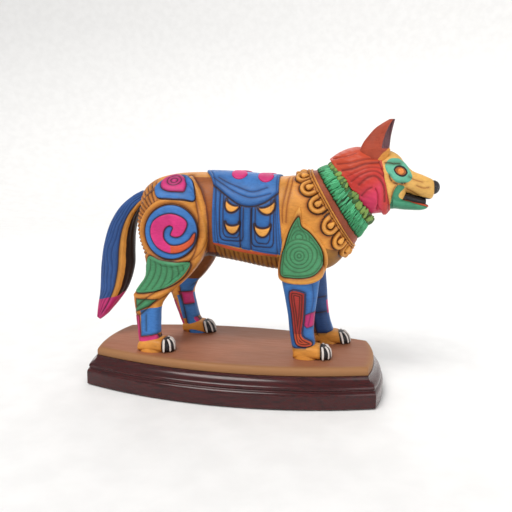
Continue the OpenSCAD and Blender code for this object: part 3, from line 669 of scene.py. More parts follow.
def haunch_carving(c, x, z, on_side):
    """Flutes round the back of the haunch, the ring round the hip disc and the ridge down the thigh."""
    r, angle = radial(DISC, x, z)
    fluted = ease((r - 32.5) / 1.5) * ease((angle - 112) / 8) * ease((226 - angle) / 8) * on_side
    flute = np.abs(((angle / 6.0) % 1) - 0.5) * 6.0 * np.radians(1) * r
    c.groove(flute, 0.85, 1.4, fluted, 0.85)
    c.ridge(r - 30.0, 2.3, 1.9, on_side)
    c.groove(r - 26.8, 1.1, 1.2, on_side)
    c.groove(r - 33.4, 0.7, 0.5, on_side * ease((angle - 80) / 20), 0.4)
    ridge = line_distance(HAUNCH_RIDGE, x, z)
    c.ridge(ridge, 2.7, 1.9, on_side)
    c.groove(ridge - 4.2, 0.9, 0.8, on_side, 0.7)


def body():
    """The torso with its fluted rump, ribbed belly and the hem under the saddle."""
    u, angle = table_places(TORSO, 380, 260)
    c = Carving(tilted(TORSO, u, angle))
    x, z = c.x, c.z
    side = ease((np.abs(c.y) - 6) / 6)
    haunch_carving(c, x, z, side)
    hem = line_distance(curve(SADDLE_HEM), x, z + 2.2)
    below = np.interp(x, [p[0] for p in SADDLE_HEM], [p[1] for p in SADDLE_HEM]) - z
    along = ease((x + 20) / 2) * ease((47 - x) / 2)
    c.ridge(hem, 1.3, 0.9, along * side)
    c.colour("hem", 1.5 - hem - 5 * (1 - along))
    belly = ease((below - 4) / 1.5) * ease((x + 22) / 3) * ease((60 - x) / 4)
    rib = np.abs(((x + 0.05 * z) / 4.6) % 1 - 0.5) * 4.6
    c.groove(rib, 0.6, 0.7, belly, 0.8)
    # The ribbed belly is painted a darker brown as painted shade.
    c.colour("belly", np.minimum(np.minimum(below - 3.6, x + 21), 60 - x))
    haunch_front = np.interp(z, [60, 98, 112, 130, 146, 160, 172], [-30, -26, -22.5, -22, -24, -30, -40])
    flank = np.minimum(x - haunch_front, -16 - x)
    c.colour("flank", np.minimum(flank, 172 - z) + 0.4)
    # Painted shade under the rear of the body, and on the chest below the shoulder.
    c.colour("underside", np.minimum(99 - z, -14 - x))
    chest = np.minimum(x - 88, 108 - z - 0.2 * (x - 90))
    c.colour("belly", chest)
    for offset in (0, 4.2):
        line = [[53 + offset, 174], [51.5 + offset, 160], [49.5 + offset, 146], [50 + offset * 0.8, 132]]
        c.groove_along(line, 0.8, 0.55, side, 0.55)
    back = (RING_BAND - u) * neck_step(angle)
    nearest, _ = scallop_distance(c.points, np.clip(back, -1, 40))
    c.groove(nearest - 9.0, 1.1, 0.9, ease((back - 4) / 2), 1.0)
    layers = [("belly", BELLY_SHADE), ("flank", DEEP_OCHRE), ("hem", ORANGE_RED), ("underside", UNDERSIDE_SHADE)]
    material = painted_wood("body_paint", OCHRE, layers)
    return finish_piece(carved_object("body", c), material, "torso")


# ---------- legs ----------

def left_shift(z, step):
    """How much of a left leg's step is there at a height."""
    return step * np.clip(1 - z / JOIN_HEIGHT, 0, None)


def place_left(points, step, wider):
    """A right leg's points moved to where the left leg stands, before the mirror."""
    p = points.copy()
    p[..., 0] += left_shift(p[..., 2], step)
    p[..., 1] -= left_shift(p[..., 2], wider)
    return p


# A paw from heel to toe: share of its length, height, foot and share of its half width.
PAW_SHAPE = [
    [0, 5, 0, 0.6], [0.05, 9.5, 0, 0.84], [0.18, 12, 0, 0.95], [0.42, 14, 0, 1.0], [0.58, 13.8, 0, 1.0],
    [0.72, 13.0, 0, 0.98], [0.84, 11.8, 0, 0.9], [0.92, 10.3, 0, 0.77], [0.97, 8.4, 0, 0.6],
    [1.0, 6.4, 0, 0.4]]
TOE_LENGTH = 10
CLAW_ANGLES = (-72, -36, 0, 36, 72)


def paw_carving(paw):
    """A paw with grooves between its toes and a black toe end."""
    heel, toe, middle, half = paw
    rows = [[heel + s * (toe - heel), top, bottom, w * half] for s, top, bottom, w in PAW_SHAPE]
    c = Carving(mesh_grid(upright, rows, 90, 100, middle=middle, power=3.0))
    front = c.x - (toe - TOE_LENGTH)
    bow = 0.18 * ((c.y - middle) / half * 3) ** 2
    c.colour("toe_end", front - bow * 0.4)
    c.groove(front - bow * 0.4, 0.7, 0.4, ease((c.z - 1) / 2), 0.6)
    return c


def leg_parts(table, along, around, carve, paw, side, step, wider):
    """The carved leg and paw of one side as mesh parts."""
    leg = Carving(mesh_grid(level, table, along, around, reverse=True))
    carve(leg, side)
    foot = paw_carving(paw)
    foot.colour("paw", np.full(foot.height.shape, 3.0))
    parts = []
    for c in (leg, foot):
        p = c.carved()
        if side == LEFT:
            p = place_left(p, step, wider)
        verts, faces = flip(*tube(p)) if side == LEFT else tube(p)
        parts.append((verts, faces, carved_attributes(c)))
    return parts


def painted_field(c, name, outline, limit, where, width=0.7, depth=0.5):
    """A painted field with a groove round it."""
    field = inside(outline, c.x, c.z)
    c.colour(name, np.minimum(field, limit))
    c.groove(field, width, depth, where)


def hind_carve(c, side):
    """The haunch, a green wedge and a blue panel in a magenta border; the left leg is blue inside too."""
    x, z = c.x, c.z
    outer = ease((-c.y - 26) / 6)
    haunch_carving(c, x, z, outer)
    thigh = inside(curve(THIGH, True), x, z)
    c.groove(thigh + 0.6, 1.0, 0.7, outer)
    bar = curve([[-99, 55.5], [-84, 55.5], [-70, 58], [-60, 62]])
    c.ridge(line_distance(bar, x, z), 1.5, 0.9, outer)
    wedge = [[-93, 52.5], [-70, 53.5], [-79, 46], [-93, 39.5]]
    painted_field(c, "green", wedge, -c.y - 30, outer)
    border = [[-96, 36], [-89, 36], [-87.5, 15], [-71, 18], [-69, 14], [-71, 9], [-96, 7]]
    painted_field(c, "magenta", border, -c.y - 28, outer)
    panel = [[-87.5, 42], [-78, 44.5], [-60, 46], [-60, 17], [-71, 18], [-87.5, 15]]
    c.colour("blue", inside(panel, x, z) - 0.3)
    c.groove(np.abs(x + 81.5), 0.6, 0.4, outer * ease((z - 19) / 3) * ease((40 - z) / 3), 0.5)
    strip = np.minimum(-93.5 - x + 0.05 * z, 40 - z)
    c.groove(strip, 0.7, 0.4, ease((38 - z) / 2), 0.6)
    # Painted shade on the inner side of the upper thigh.
    c.colour("brown", np.minimum(c.y + 31, z - 58 - 0.25 * (x + 70)))
    if side == LEFT:
        inner = np.minimum(c.y + 33, 62 - z)
        c.colour("blue", np.minimum(inner, x + 84 - 0.05 * z) - 0.3)
        patch = [[-84, 46], [-60, 47], [-58, 34], [-82, 32]]
        on_inside = ease((c.y + 33) / 2)
        painted_field(c, "magenta", patch, inner, on_inside)
        c.groove(np.abs(x + 84 - 0.05 * z), 0.8, 0.6, on_inside * ease((66 - z) / 3))


def fore_carve(c, _):
    """The foreleg's carving is the same on both sides."""
    x, z = c.x, c.z
    outer = ease((-c.y - 26) / 5)
    inner = ease((c.y + 24) / 5)
    for centre_z in (50, 34):
        line = [[60, centre_z - 2], [84, centre_z + 1.5]]
        c.groove(line_distance(line, x, z), 0.9, 0.7, inner)
    c.groove(np.abs(x - 66), 0.9, 0.6, inner * ease((68 - z) / 4))
    # The inner side is painted a darker blue as painted shade.
    c.colour("inner", c.y + 22)
    c.colour("ochre", np.minimum(c.y + 24, 62.5 + 0.06 * (60 - z) - x))
    c.groove(inside(curve(MOTIF, True, 3), x, z) + 0.9, 1.0, 0.6, outer)
    c.groove_along([[80, 74], [81.5, 60], [79.5, 46], [77, 32]], 0.8, 0.45, outer * ease((z - 30) / 4), 0.5)
    patch = [[74, 44.5], [78, 46], [83, 47], [83, 33], [76, 31.5], [73.5, 34]]
    painted_field(c, "magenta", patch, -c.y - 20, outer, 0.6, 0.4)
    c.groove(np.abs(z - 10.5 - 0.1 * (x - 60)), 0.9, 0.7, 1.0, 0.8)
    c.colour("paw", 10 + 0.1 * (x - 60) - z)


# The hind legs' inner thigh colour and the forelegs' darker inner blue are painted shade.
HIND_LAYERS = [("brown", THIGH_SHADE), ("green", GREEN), ("blue", BLUE), ("magenta", MAGENTA), ("paw", OCHRE),
               ("toe_end", BLACK)]
FORE_LAYERS = [("inner", darker(DEEP_BLUE, 0.75)), ("ochre", DEEP_OCHRE), ("magenta", MAGENTA),
               ("paw", OCHRE), ("toe_end", BLACK)]


def legs():
    """Both pairs of legs with their paws; each leg and its paw are one piece."""
    hind_paint = painted_wood("hindleg_paint", OCHRE, HIND_LAYERS)
    fore_paint = painted_wood("foreleg_paint", BLUE, FORE_LAYERS, wash_shade=BLUE_WASH_SHADE)
    made = []
    for side, word in SIDES:
        parts = leg_parts(HINDLEG, 220, 190, hind_carve, HIND_PAW, side, STEP_HIND, 0)
        hind = merged_object(f"hind_leg_{word}", parts)
        made.append(finish_piece(hind, hind_paint, f"hindleg_{word}"))
        parts = leg_parts(FORELEG, 180, 120, fore_carve, FORE_PAW, side, STEP_FORE, WIDER_FORE)
        fore = merged_object(f"front_leg_{word}", parts)
        made.append(finish_piece(fore, fore_paint, f"foreleg_{word}"))
    return made


def claw_parts():
    """Pale claws that stand in a fan round the end of each paw and curl over its top."""
    parts = []
    profile = curve([[0.55, 12.6], [0.8, 11.4], [0.98, 8.6], [1.05, 5], [1.06, 1.2]], between=6)
    for paw, step, wider in ((HIND_PAW, STEP_HIND, 0), (FORE_PAW, STEP_FORE, WIDER_FORE)):
        _, toe, middle, half = paw
        for angle in CLAW_ANGLES:
            out = np.array([math.cos(math.radians(angle)), math.sin(math.radians(angle))])
            centre = np.array([toe - TOE_LENGTH, middle])
            reach = np.array([TOE_LENGTH, half]) * out
            p = standing_bar(centre, reach, profile, 1.1, 0.8)
            parts.append(tube(p))
            parts.append(flip(*tube(place_left(p, step, wider))))
    return [(v, f, {"wash": np.zeros(len(v))}) for v, f in parts]


def standing_bar(centre, reach, profile, half_width, half_thick, around=12):
    """A rounded bar in an upright plane through a centre; its profile is (share of the reach, height)."""
    length = np.linalg.norm(reach)
    out = reach / length
    share, height = profile[:, 0], profile[:, 1]
    t = np.linspace(0, 1, len(profile))
    thin = np.sqrt(np.clip(1 - (2 * t - 1) ** 6, 0.02, 1))[:, None]
    along = np.gradient(np.column_stack([share * length, height]), axis=0)
    along /= np.linalg.norm(along, axis=1, keepdims=True)
    a = turns(around)
    lift = np.sin(a) * half_thick * thin
    radial_place = (share * length)[:, None] - along[:, 1, None] * lift
    z = height[:, None] + along[:, 0, None] * lift
    across = np.cos(a) * half_width * thin
    x = centre[0] + out[0] * radial_place - out[1] * across
    y = centre[1] + out[1] * radial_place + out[0] * across
    return np.stack([x, y, z], -1)


def claws():
    """All the claws as one piece."""
    obj = merged_object("claws_all", claw_parts())
    finish_piece(obj, painted_wood("claw_paint", CLAW, wash=False, gloss=0.35), "claws")


# ---------- tail ----------

def tail():
    """A heavy tail: a blue face of long strands, an ochre edge and a hollow in front that is painted dark as
    painted shade.
    """
    U, A = table_places(TAIL, 260, 180)
    c = Carving(tilted(TAIL, U, A))
    degrees = np.degrees(A)
    from_front = np.abs(((degrees - 270) + 180) % 360 - 180)
    hollow = (58 - from_front) * 0.25
    c.height -= 3.2 * ease(hollow / 8) * ease(U / 2) * ease((9 - U) / 1)
    c.ridge((from_front - 68) * 0.25, 2.0, 0.9, ease(U) * ease((8.6 - U) / 1))
    c.groove((from_front - 80) * 0.25, 0.7, 0.7, ease(U) * ease((8.6 - U)))
    sway = 3.0 * np.sin(U * 1.7) + 1.4 * np.sin(U * 4.1 + 1)
    for k in range(6):
        strand = np.abs(from_front - (94 + 15 * k) - sway * (1.4 + 0.4 * k)) * 0.25
        c.groove(strand, 0.6, 0.8, ease((180 - from_front) / 8), 0.42)
    # The hollow's dark colour is painted shade.
    c.colour("dark", hollow - 0.4)
    c.colour("edge", np.minimum((80 - from_front) * 0.25, 12))
    c.colour("tip", 43 - c.z + 0.25 * (c.x + 140))
    material = painted_wood("tail_paint", DEEP_BLUE, [("edge", OCHRE), ("dark", UMBER), ("tip", MAGENTA)],
                            streak=(4, 4, 0.7), wash_shade=BLUE_WASH_SHADE)
    finish_piece(carved_object("tail_carved", c), material, "tail")


# ---------- things laid on a surface ----------

class Ground:
    """The surface that ornaments lie on, found by looking at it squarely from the side."""

    def __init__(self, objects):
        verts, faces, offset = [], [], 0
        for o in objects:
            data = np.empty(len(o.data.vertices) * 3)
            o.data.vertices.foreach_get("co", data)
            verts.append(data.reshape(-1, 3) / MM - [0, 0, DECK])
            faces += [tuple(i + offset for i in p.vertices) for p in o.data.polygons]
            offset += len(o.data.vertices)
        self.tree = BVHTree.FromPolygons(np.vstack(verts).tolist(), faces)

    def hit(self, x, z, side):
        place, normal, _, _ = self.tree.ray_cast(Vector((x, side * 90, z)), Vector((0, -side, 0)))
        if place is None or place.y * side < 0:     # past the edge, or on the other side's leg
            place, normal, _, _ = self.tree.find_nearest(Vector((x, side * 30, z)))
        return place, normal

    def under(self, x, y):
        """What lies straight below a point high above the back."""
        place, normal, _, _ = self.tree.ray_cast(Vector((x, y, 230)), Vector((0, 0, -1)))
        return place, normal

    def points(self, x, z, side):
        return gathered(lambda a, b: self.hit(a, b, side), x, z)


def gathered(find, first, second):
    """The places and normals that a search finds for each pair of values."""
    found = [find(float(a), float(b)) for a, b in zip(first.flat, second.flat)]
    shape = first.shape + (3,)
    places, normals = (np.array([tuple(v) for v in vectors]) for vectors in zip(*found))
    return places.reshape(shape), normals.reshape(shape)


# How far a patch and a filled part reach below the ground, and the spacing of a filled part's points.
PATCH_SINK = 1.2
PART_SINK = 0.9
PITCH = 0.55


def smooth_normals(n, rounds=6):
    """Normals averaged with their neighbours, so that small cuts in the ground do not show above it."""
    for _ in range(rounds):
        n = n + np.roll(n, 1, axis=1) + np.roll(n, -1, axis=1)
        n[1:-1] = n[1:-1] + n[:-2] + n[2:]
        n /= np.linalg.norm(n, axis=-1, keepdims=True)
    return n


def stepped(x, z, side, step):
    """Where an outline's x lies on a leg, which steps forward on the left side."""
    return x + left_shift(z, step) * (side == LEFT)


def patch_carving(ground, outline, centre, side, rings, step=0):
    """A patch inside an outline, as rings that grow from its centre; its x and z stay the right side's."""
    share = np.append(1 - (1 - np.linspace(0.02, 1, rings)) ** 1.25, 1.0)
    x = centre[0] + share[:, None] * (outline[:, 0] - centre[0])
    z = centre[1] + share[:, None] * (outline[:, 1] - centre[1])
    places, normals = ground.points(stepped(x, z, side, step), z, side)
    c = Carving(places, smooth_normals(normals))
    c.x, c.z = x, z
    return c


def patch_part(c):
    """A patch as a part, closed below the ground, where its last ring drops to."""
    c.height[-1] = -PATCH_SINK
    under = (c.points - c.normals * PATCH_SINK)[::-1]
    p = np.concatenate([c.carved(), under[1:]])
    verts, faces = tube(p)
    clockwise = np.cross(p[1, 1] - p[1, 0], p[2, 0] - p[1, 0]) @ c.normals[1, 0] < 0
    if clockwise:
        faces = [tuple(reversed(f)) for f in faces]
    attributes = carved_attributes(c, lambda v: closed_values(np.concatenate([v, v[::-1][1:]])))
    return verts, faces, attributes


def finish_patch(kind, word, c, material):
    """Makes a patch that stands for the CAD node of its kind and side."""
    obj = new_object(f"{kind}_{word}_carved", *patch_part(c))
    finish_piece(obj, material, f"{kind}_{word}")


def crown(depth_inside, height, bevel):
    """A height that rises from an edge in a quarter round."""
    return height * np.sqrt(np.clip(1 - (1 - np.clip(depth_inside / bevel, 0, 1)) ** 2, 0, 1))


def filled_part(ground, outline, side, rise, bevel, paints=None, bands=(), step=0, base=0.0):
    """A raised piece that fills an outline: a fine flat mesh laid on the ground, crowned and closed below.

    Each band is a cut at a depth inside the outline, with its width.
    """
    low, high = outline.min(axis=0), outline.max(axis=0)
    gx, gz = np.meshgrid(np.arange(low[0], high[0], PITCH), np.arange(low[1], high[1], PITCH))
    keep = inside(outline, gx, gz) > PITCH * 0.6
    flat = np.vstack([outline, np.column_stack([gx[keep], gz[keep]])])
    loop = list(range(len(outline)))
    found = delaunay_2d_cdt([Vector(p) for p in flat], [], [loop], 1, 1e-5)
    v = np.array([tuple(p) for p in found[0]])
    triangles = [tuple(f) for f in found[2]]
    x, z = v[:, 0], v[:, 1]
    edge = np.maximum(inside(outline, x, z), 0)
    places, normals = ground.points(stepped(x, z, side, step), z, side)
    for _ in range(5):
        total = normals.copy()
        for f in triangles:
            total[list(f)] += normals[list(f)].sum(axis=0)
        normals = total / np.linalg.norm(total, axis=1, keepdims=True)
    height = base + crown(edge, rise, bevel)
    wash = 0.85 * ease((0.75 - edge) / 0.7)
    for depth_in, width in bands:
        cut = bell(edge - depth_in, width)
        height = height - 0.6 * cut
        wash = np.maximum(wash, 0.85 * cut)
    count = len(v)
    verts = np.vstack([places + normals * height[:, None], places - normals * PART_SINK])
    if side == LEFT:
        triangles = [f[::-1] for f in triangles]
    edges = dict.fromkeys((a, b) for f in triangles for a, b in zip(f, f[1:] + f[:1]))
    walls = [(b, a, a + count, b + count) for a, b in edges if (b, a) not in edges]
    faces = triangles + [tuple(i + count for i in f[::-1]) for f in triangles] + walls
    attributes = {"wash": np.tile(wash, 2)}
    for key, depth_inside in (paints or {}).items():
        attributes[key] = np.tile(np.clip(depth_inside(x, z), -4, 4), 2)
    return verts, faces, attributes


def hip_disc(ground, side, word):
    """The blue disc, with a dark line round the comma on it."""
    outline = arc(*DISC, DISC_R, 0, 357, 120)
    c = patch_carving(ground, outline, DISC, side, 46)
    r, _ = radial(DISC, c.x, c.z)
    c.height += crown(DISC_R - r, 1.3, 3)
    c.wash = np.maximum(c.wash, ease((r - DISC_R + 1.4) / 0.9))
    c.wash = np.maximum(c.wash, 0.85 * bell(inside(comma_outline(), c.x, c.z), 1.2))
    material = painted_wood("disc_paint", BLUE, wash_shade=BLUE_WASH_SHADE)
    finish_patch("hip_disc", word, c, material)


# The comma round the disc's middle: its outer edge from the tail's tip, then its inner edge.
COMMA = [[24, -1], [22, -10], [12, -18], [0, -20], [-12, -15], [-19, -4], [-18, 8], [-10, 15], [1, 17.5],
         [12, 14], [16.5, 8], [13, -1], [7, -4.5], [1, -2.5], [3, 4], [0, 6], [-4, 4], [-6, -1], [-5, -7],
         [1, -12], [10, -11.5], [18, -7], [22, -1]]


def comma_outline():
    """The comma's outline, in its place on the disc."""
    return np.array(DISC) + curve(COMMA, True, 5)


def hip_spiral(ground, side, word):
    """The magenta comma, which glows orange along its lower turn."""
    def ember(x, z):
        dx, dz = x - DISC[0], z - DISC[1]
        return np.maximum(np.minimum((dx - 1) * 0.4, -6.5 - dz), dx - 17.5)

    part = filled_part(ground, comma_outline(), side, 1.5, 1.8, {"ember": ember}, base=1.2)
    material = painted_wood("spiral_paint", MAGENTA, [("ember", ORANGE_RED)])
    obj = new_object(f"hip_spiral_{word}_carved", *part)
    finish_piece(obj, material, f"hip_spiral_{word}")


def rump_shield(ground, side, word):
    """The blue shield on the rump, with a magenta swirl."""
    outline = curve(RUMP, True, 10)
    c = patch_carving(ground, outline, (-57, 161), side, 34)
    x, z = c.x, c.z
    edge = inside(outline, x, z)
    c.height += crown(edge, 1.9, 3)
    c.wash = np.maximum(c.wash, ease((1.5 - edge) / 1.0))
    swirl = np.vstack([curve([[-45.5, 158], [-45.5, 165], [-49, 170.5], [-58, 174], [-66.5, 172], [-71, 166],
                              [-69, 160.5], [-62, 157.6], [-54, 157.2]]), [[-47, 157]]])
    inner = inside(swirl, x, z)
    c.colour("magenta", inner)
    c.height += crown(inner, 0.9, 2)
    c.groove(inner, 0.7, 0.5)
    for size in (0.62, 0.3):
        ring = np.hypot((x + 58) / 11, (z - 167) / 6.5) - size
        c.groove(ring * 8, 0.55, 0.45, ease((inner - 0.6) / 0.8), 0.85)
    material = painted_wood("rump_paint", BLUE, [("magenta", MAGENTA)], wash_shade=BLUE_WASH_SHADE)
    finish_patch("rump_shield", word, c, material)


def thigh_panel(ground, side, word):
    """The green panel across the thigh, with its combed strands."""
    outline = curve(THIGH, True, 10)
    c = patch_carving(ground, outline, (-68, 77), side, 40, STEP_HIND)
    edge = inside(outline, c.x, c.z)
    c.height += crown(edge, 1.6, 2.5)
    for k in range(9):
        bow = [[-82 + 5.2 * k, 97 - 0.6 * k], [-82 + 5.6 * k, 86 - 1.0 * k],
               [-87 + 5.9 * k, 74 - 0.8 * k], [-96 + 6.4 * k, 60 + 0.5 * k]]
        c.groove_along(bow, 0.55, 0.4, ease((edge - 1.2) / 1.5), 0.42)
    finish_patch("thigh_panel", word, c, painted_wood("thigh_paint", GREEN))


def shoulder(ground, side, word):
    """The shield's raised ochre border and the green inlay with its carved rings."""
    outline = curve(SHIELD, True, 10)
    centre = (68, 102)
    c = patch_carving(ground, outline, centre, side, 40)
    inner_line = curve(INLAY, True, 10)
    edge = inside(outline, c.x, c.z)
    gap = -inside(inner_line, c.x, c.z)
    c.height += crown(edge, 2.9, 2.6) - 1.8 * ease((1.0 - gap) / 1.2)
    c.groove(gap, 0.8, 0.3)
    finish_patch("shoulder_shield", word, c, painted_wood("shield_paint", PALE_OCHRE))
    c = patch_carving(ground, centre + (inner_line - centre) * 0.975, centre, side, 52)
    x, z = c.x, c.z
    edge = inside(inner_line, x, z)
    c.height += 1.0 + crown(edge, 1.3, 4)
    eye = np.hypot(x - 67, z - 101)
    for r in (1.8, 4.6, 8.2, 11.6, 15.2):
        c.groove(eye - r, 0.6, 0.45, ease((edge - 1) / 1.5), 0.4)
    tip = np.hypot((x - 66) * 1.1, z - 118)
    for r in (3.5, 7.0, 10.5):
        c.groove(tip - r, 0.55, 0.4, ease((z - 114) / 3) * ease((edge - 1) / 1.5), 0.4)
    c.groove(edge - 2.2, 0.6, 0.4, 1.0, 0.4)
    finish_patch("shoulder_inlay", word, c, painted_wood("inlay_paint", GREEN))


def foreleg_motif(ground, side, word):
    """Nested red bands down the foreleg that end in an orange hook."""
    paints = {"hook": lambda x, z: np.minimum(25.5 - z, x - 64)}
    bands = ((2.3, 0.6), (4.4, 0.55))
    part = filled_part(ground, curve(MOTIF, True, 4), side, 1.1, 1.5, paints, bands, STEP_FORE)
    material = painted_wood("motif_paint", DARK_RED, [("hook", ORANGE_RED)])
    obj = new_object(f"foreleg_motif_{word}_carved", *part)
    finish_piece(obj, material, f"foreleg_motif_{word}")


# ---------- saddle ----------

# The cloth's ends in rows of TORSO, and how far its rear edge sweeps back over the spine.
SADDLE_REAR = 5.25
SADDLE_FRONT = 7.55
SADDLE_SWEEP = 0.45
# The hem's angle round the torso at each end.
HEM_REAR = -30
HEM_FRONT = -33
# The cloth's length along the back, and its width from hem to hem.
CLOTH_LENGTH = 70
CLOTH_WIDTH = 240
SADDLE_THICK = 2.2


def saddle_point(s, t, grow):
    """A point on the cloth: s runs from its rear edge to its front one, t from hem to hem."""
    hem = HEM_REAR + (HEM_FRONT - HEM_REAR) * s
    a = np.radians(hem + (180 - 2 * hem) * t)
    rear = SADDLE_REAR - SADDLE_SWEEP * np.clip(np.sin(a), 0, None) ** 6
    return tilted(TORSO, rear + (SADDLE_FRONT - rear) * s, a, grow)


def saddle():
    """The cloth: a brow over two masks, nested frames and a bar between them."""
    s, t = np.meshgrid(np.linspace(0, 1, 150), np.linspace(0, 1, 330), indexing="ij")
    top = saddle_point(s, t, SADDLE_THICK)
    c = Carving(top, open_normals(top))
    x, z = c.x, c.z
    side = ease((np.abs(c.y) - 5) / 8)
    rim = np.minimum(s, 1 - s) * CLOTH_LENGTH
    hem = np.minimum(t, 1 - t) * CLOTH_WIDTH
    c.height += crown(np.minimum(rim, hem), 0.8, 2.2) - 0.8
    brow = curve([[-30, 172], [-16, 164], [0, 152.5], [9, 147.5], [20, 146], [33, 150], [46, 160]])
    brow_z = np.interp(x, brow[:, 0], brow[:, 1])
    c.height += 1.1 * ease((z - brow_z) / 2.5) * side
    c.groove(line_distance(brow, x, z), 1.3, 0.9, side)
    for lift, reach in ((6.5, 44), (12, 40)):
        line = [[-26 + lift, 172], [-12 + lift * 0.6, 163 + lift * 0.4], [4, 152.5 + lift],
                [20, 147.5 + lift], [reach - 6, 151.5 + lift]]
        c.groove_along(line, 0.75, 0.6, side, 0.7)
    below = ease((brow_z - z) / 1.5) * side
    bar = np.abs(x - 15)
    c.ridge(np.clip(bar - 2.5, 0, None), 1.2, 0.8, below)
    c.groove(bar - 5.3, 0.9, 0.9, below)
    for centre, half in ((1.5, 11.5), (31.5, 10.5)):
        for inset, depth in ((0, 0.9), (3.4, 0.7)):
            w = half - inset
            foot = np.interp(centre, [-17, 44], [112, 102]) + 4.2 + inset
            bottom = curve([[centre - w, foot + 4], [centre - w + 2.5, foot], [centre, foot - 0.6],
                            [centre + w - 2.5, foot - 0.4], [centre + w, foot + 4]], between=5)
            u_line = np.vstack([[[centre - w, 170], [centre - w, foot + 4]], bottom, [[centre + w, 170]]])
            c.groove(line_distance(u_line, x, z), 0.8, depth, below, 0.85)
    for edge_x in (-13.2, 44.2):
        c.groove(np.abs(x - edge_x + 0.05 * (z - 130)), 0.7, 0.6, below, 0.7)
    for crescent in CRESCENTS:
        d = inside(crescent_outline(crescent), x, z)
        c.groove(np.minimum(d, 0) + 0.8, 1.3, 0.6, below, 0.95)
    c.groove(np.minimum(rim, hem) - 2.6, 0.7, 0.5, 1.0, 0.6)
    # Below the brow the cloth is painted a darker blue as painted shade under its lit top.
    c.colour("deep", np.minimum(brow_z - z - 1, 3) - 4 * (1 - side))
    material = painted_wood("saddle_paint", BLUE, [("deep", SADDLE_SHADE_BLUE)], wash_shade=BLUE_WASH_SHADE)
    obj = ribbon_like(c, "saddle_carved", saddle_point(s, t, -1.0))
    finish_piece(obj, material, "saddle_cloth")
    return obj


def open_normals(p):
    """Outward normals of an open sheet."""
    n = np.cross(np.gradient(p, axis=1), np.gradient(p, axis=0))
    return n / np.maximum(np.linalg.norm(n, axis=-1, keepdims=True), 1e-9)


def ribbon_like(c, name, under):
    """Closes an open sheet with its under side."""
    p = np.concatenate([c.carved(), under[:, ::-1]], axis=1)
    attributes = carved_attributes(c, lambda v: np.concatenate([v, v[:, ::-1]], axis=1).ravel())
    m, n = p.shape[:2]
    faces = quads(m, n)
    for row in (0, m - 1):
        for k in range(n // 2 - 1):
            quad = [row * n + k, row * n + n - 1 - k, row * n + n - 2 - k, row * n + k + 1]
            faces.append(quad if row == 0 else quad[::-1])
    return new_object(name, p.reshape(-1, 3), faces, attributes)


# Crescents on the saddle: middle of the chord x and z, half width, depth, turn.
CRESCENTS = [[3, 150, 7, 10, -22], [34, 149, 8, 10, 22], [2.5, 131, 7, 11, 0], [31.5, 129.5, 7.5, 11.5, 0]]
# Spots on the saddle: x and radius, and how far to the side of the spine they all are.
SPOTS = [[5, 8], [31, 8]]
SPOT_ASIDE = 17


def crescent_outline(crescent):
    """A crescent with its points up, turned about the middle of its chord."""
    cx, cz, half, depth, turn = crescent
    a = np.radians(np.linspace(180, 360, 25))
    outer = np.column_stack([half * np.cos(a), depth * np.sin(a)])
    inner = np.column_stack([half * np.cos(a), 0.36 * depth * np.sin(a)])[-2:0:-1]
    p = np.vstack([outer, inner])
    c, s = math.cos(math.radians(turn)), math.sin(math.radians(turn))
    return np.column_stack([cx + p[:, 0] * c - p[:, 1] * s, cz + p[:, 0] * s + p[:, 1] * c])


def crescents(ground):
    """The pale crescents on the saddle, as one piece."""
    parts = []
    for side in (RIGHT, LEFT):
        for crescent in CRESCENTS:
            parts.append(filled_part(ground, crescent_outline(crescent), side, 1.5, 1.8))
    obj = merged_object("crescents_carved", parts)
    finish_piece(obj, painted_wood("crescent_paint", PALE_OCHRE), "saddle_crescents")


def spots(ground):
    """The magenta spots on the top of the saddle, as one piece."""
    parts = []
    for side in (RIGHT, LEFT):
        for cx, r in SPOTS:
            share, a = np.meshgrid(np.linspace(0.03, 1, 14), turns(48), indexing="ij")
            x = cx + share * r * np.cos(a)
            y = side * SPOT_ASIDE + share * r * np.sin(a)
            places, normals = gathered(ground.under, x, y)
            c = Carving(places, smooth_normals(normals))
            edge = (1 - share) * r
            c.height += crown(edge, 1.5, 2.2)
            c.wash = ease((0.5 - edge) / 0.5) * 0.8
            parts.append(patch_part(c))
    obj = merged_object("spots_carved", parts)
    finish_piece(obj, painted_wood("spot_paint", MAGENTA), "saddle_spots")


# ---------- neck ----------

SCALLOPS = 14
BEAD_SETBACK = 9    # from the collar's front rim to the middles of its scallops


def neck_step(angle):
    """How many millimetres one row of TORSO is long where the collar lies."""
    a = tilted(TORSO, np.full_like(angle, RING_BAND), angle)
    return np.linalg.norm(a - tilted(TORSO, np.full_like(angle, RING_BAND - 1), angle), axis=-1)


def collar_place(back, angle, grow=0.0):
    """A point a distance behind the collar's front rim."""
    return tilted(TORSO, RING_BAND - back / neck_step(angle), angle, grow)


def scallop_distance(points, back):
    """How far points are from the nearest scallop's middle line, and from the second nearest one's."""
    nearest = np.full(back.shape, np.inf)
    second = nearest.copy()
    for k in range(SCALLOPS):
        level_with = collar_place(back, np.full(back.shape, (k + 0.5) * 2 * math.pi / SCALLOPS))
        d = np.hypot(np.linalg.norm(points - level_with, axis=-1), np.maximum(back - BEAD_SETBACK, 0))
        second = np.minimum(second, np.maximum(nearest, d))
        nearest = np.minimum(nearest, d)
    return nearest, second


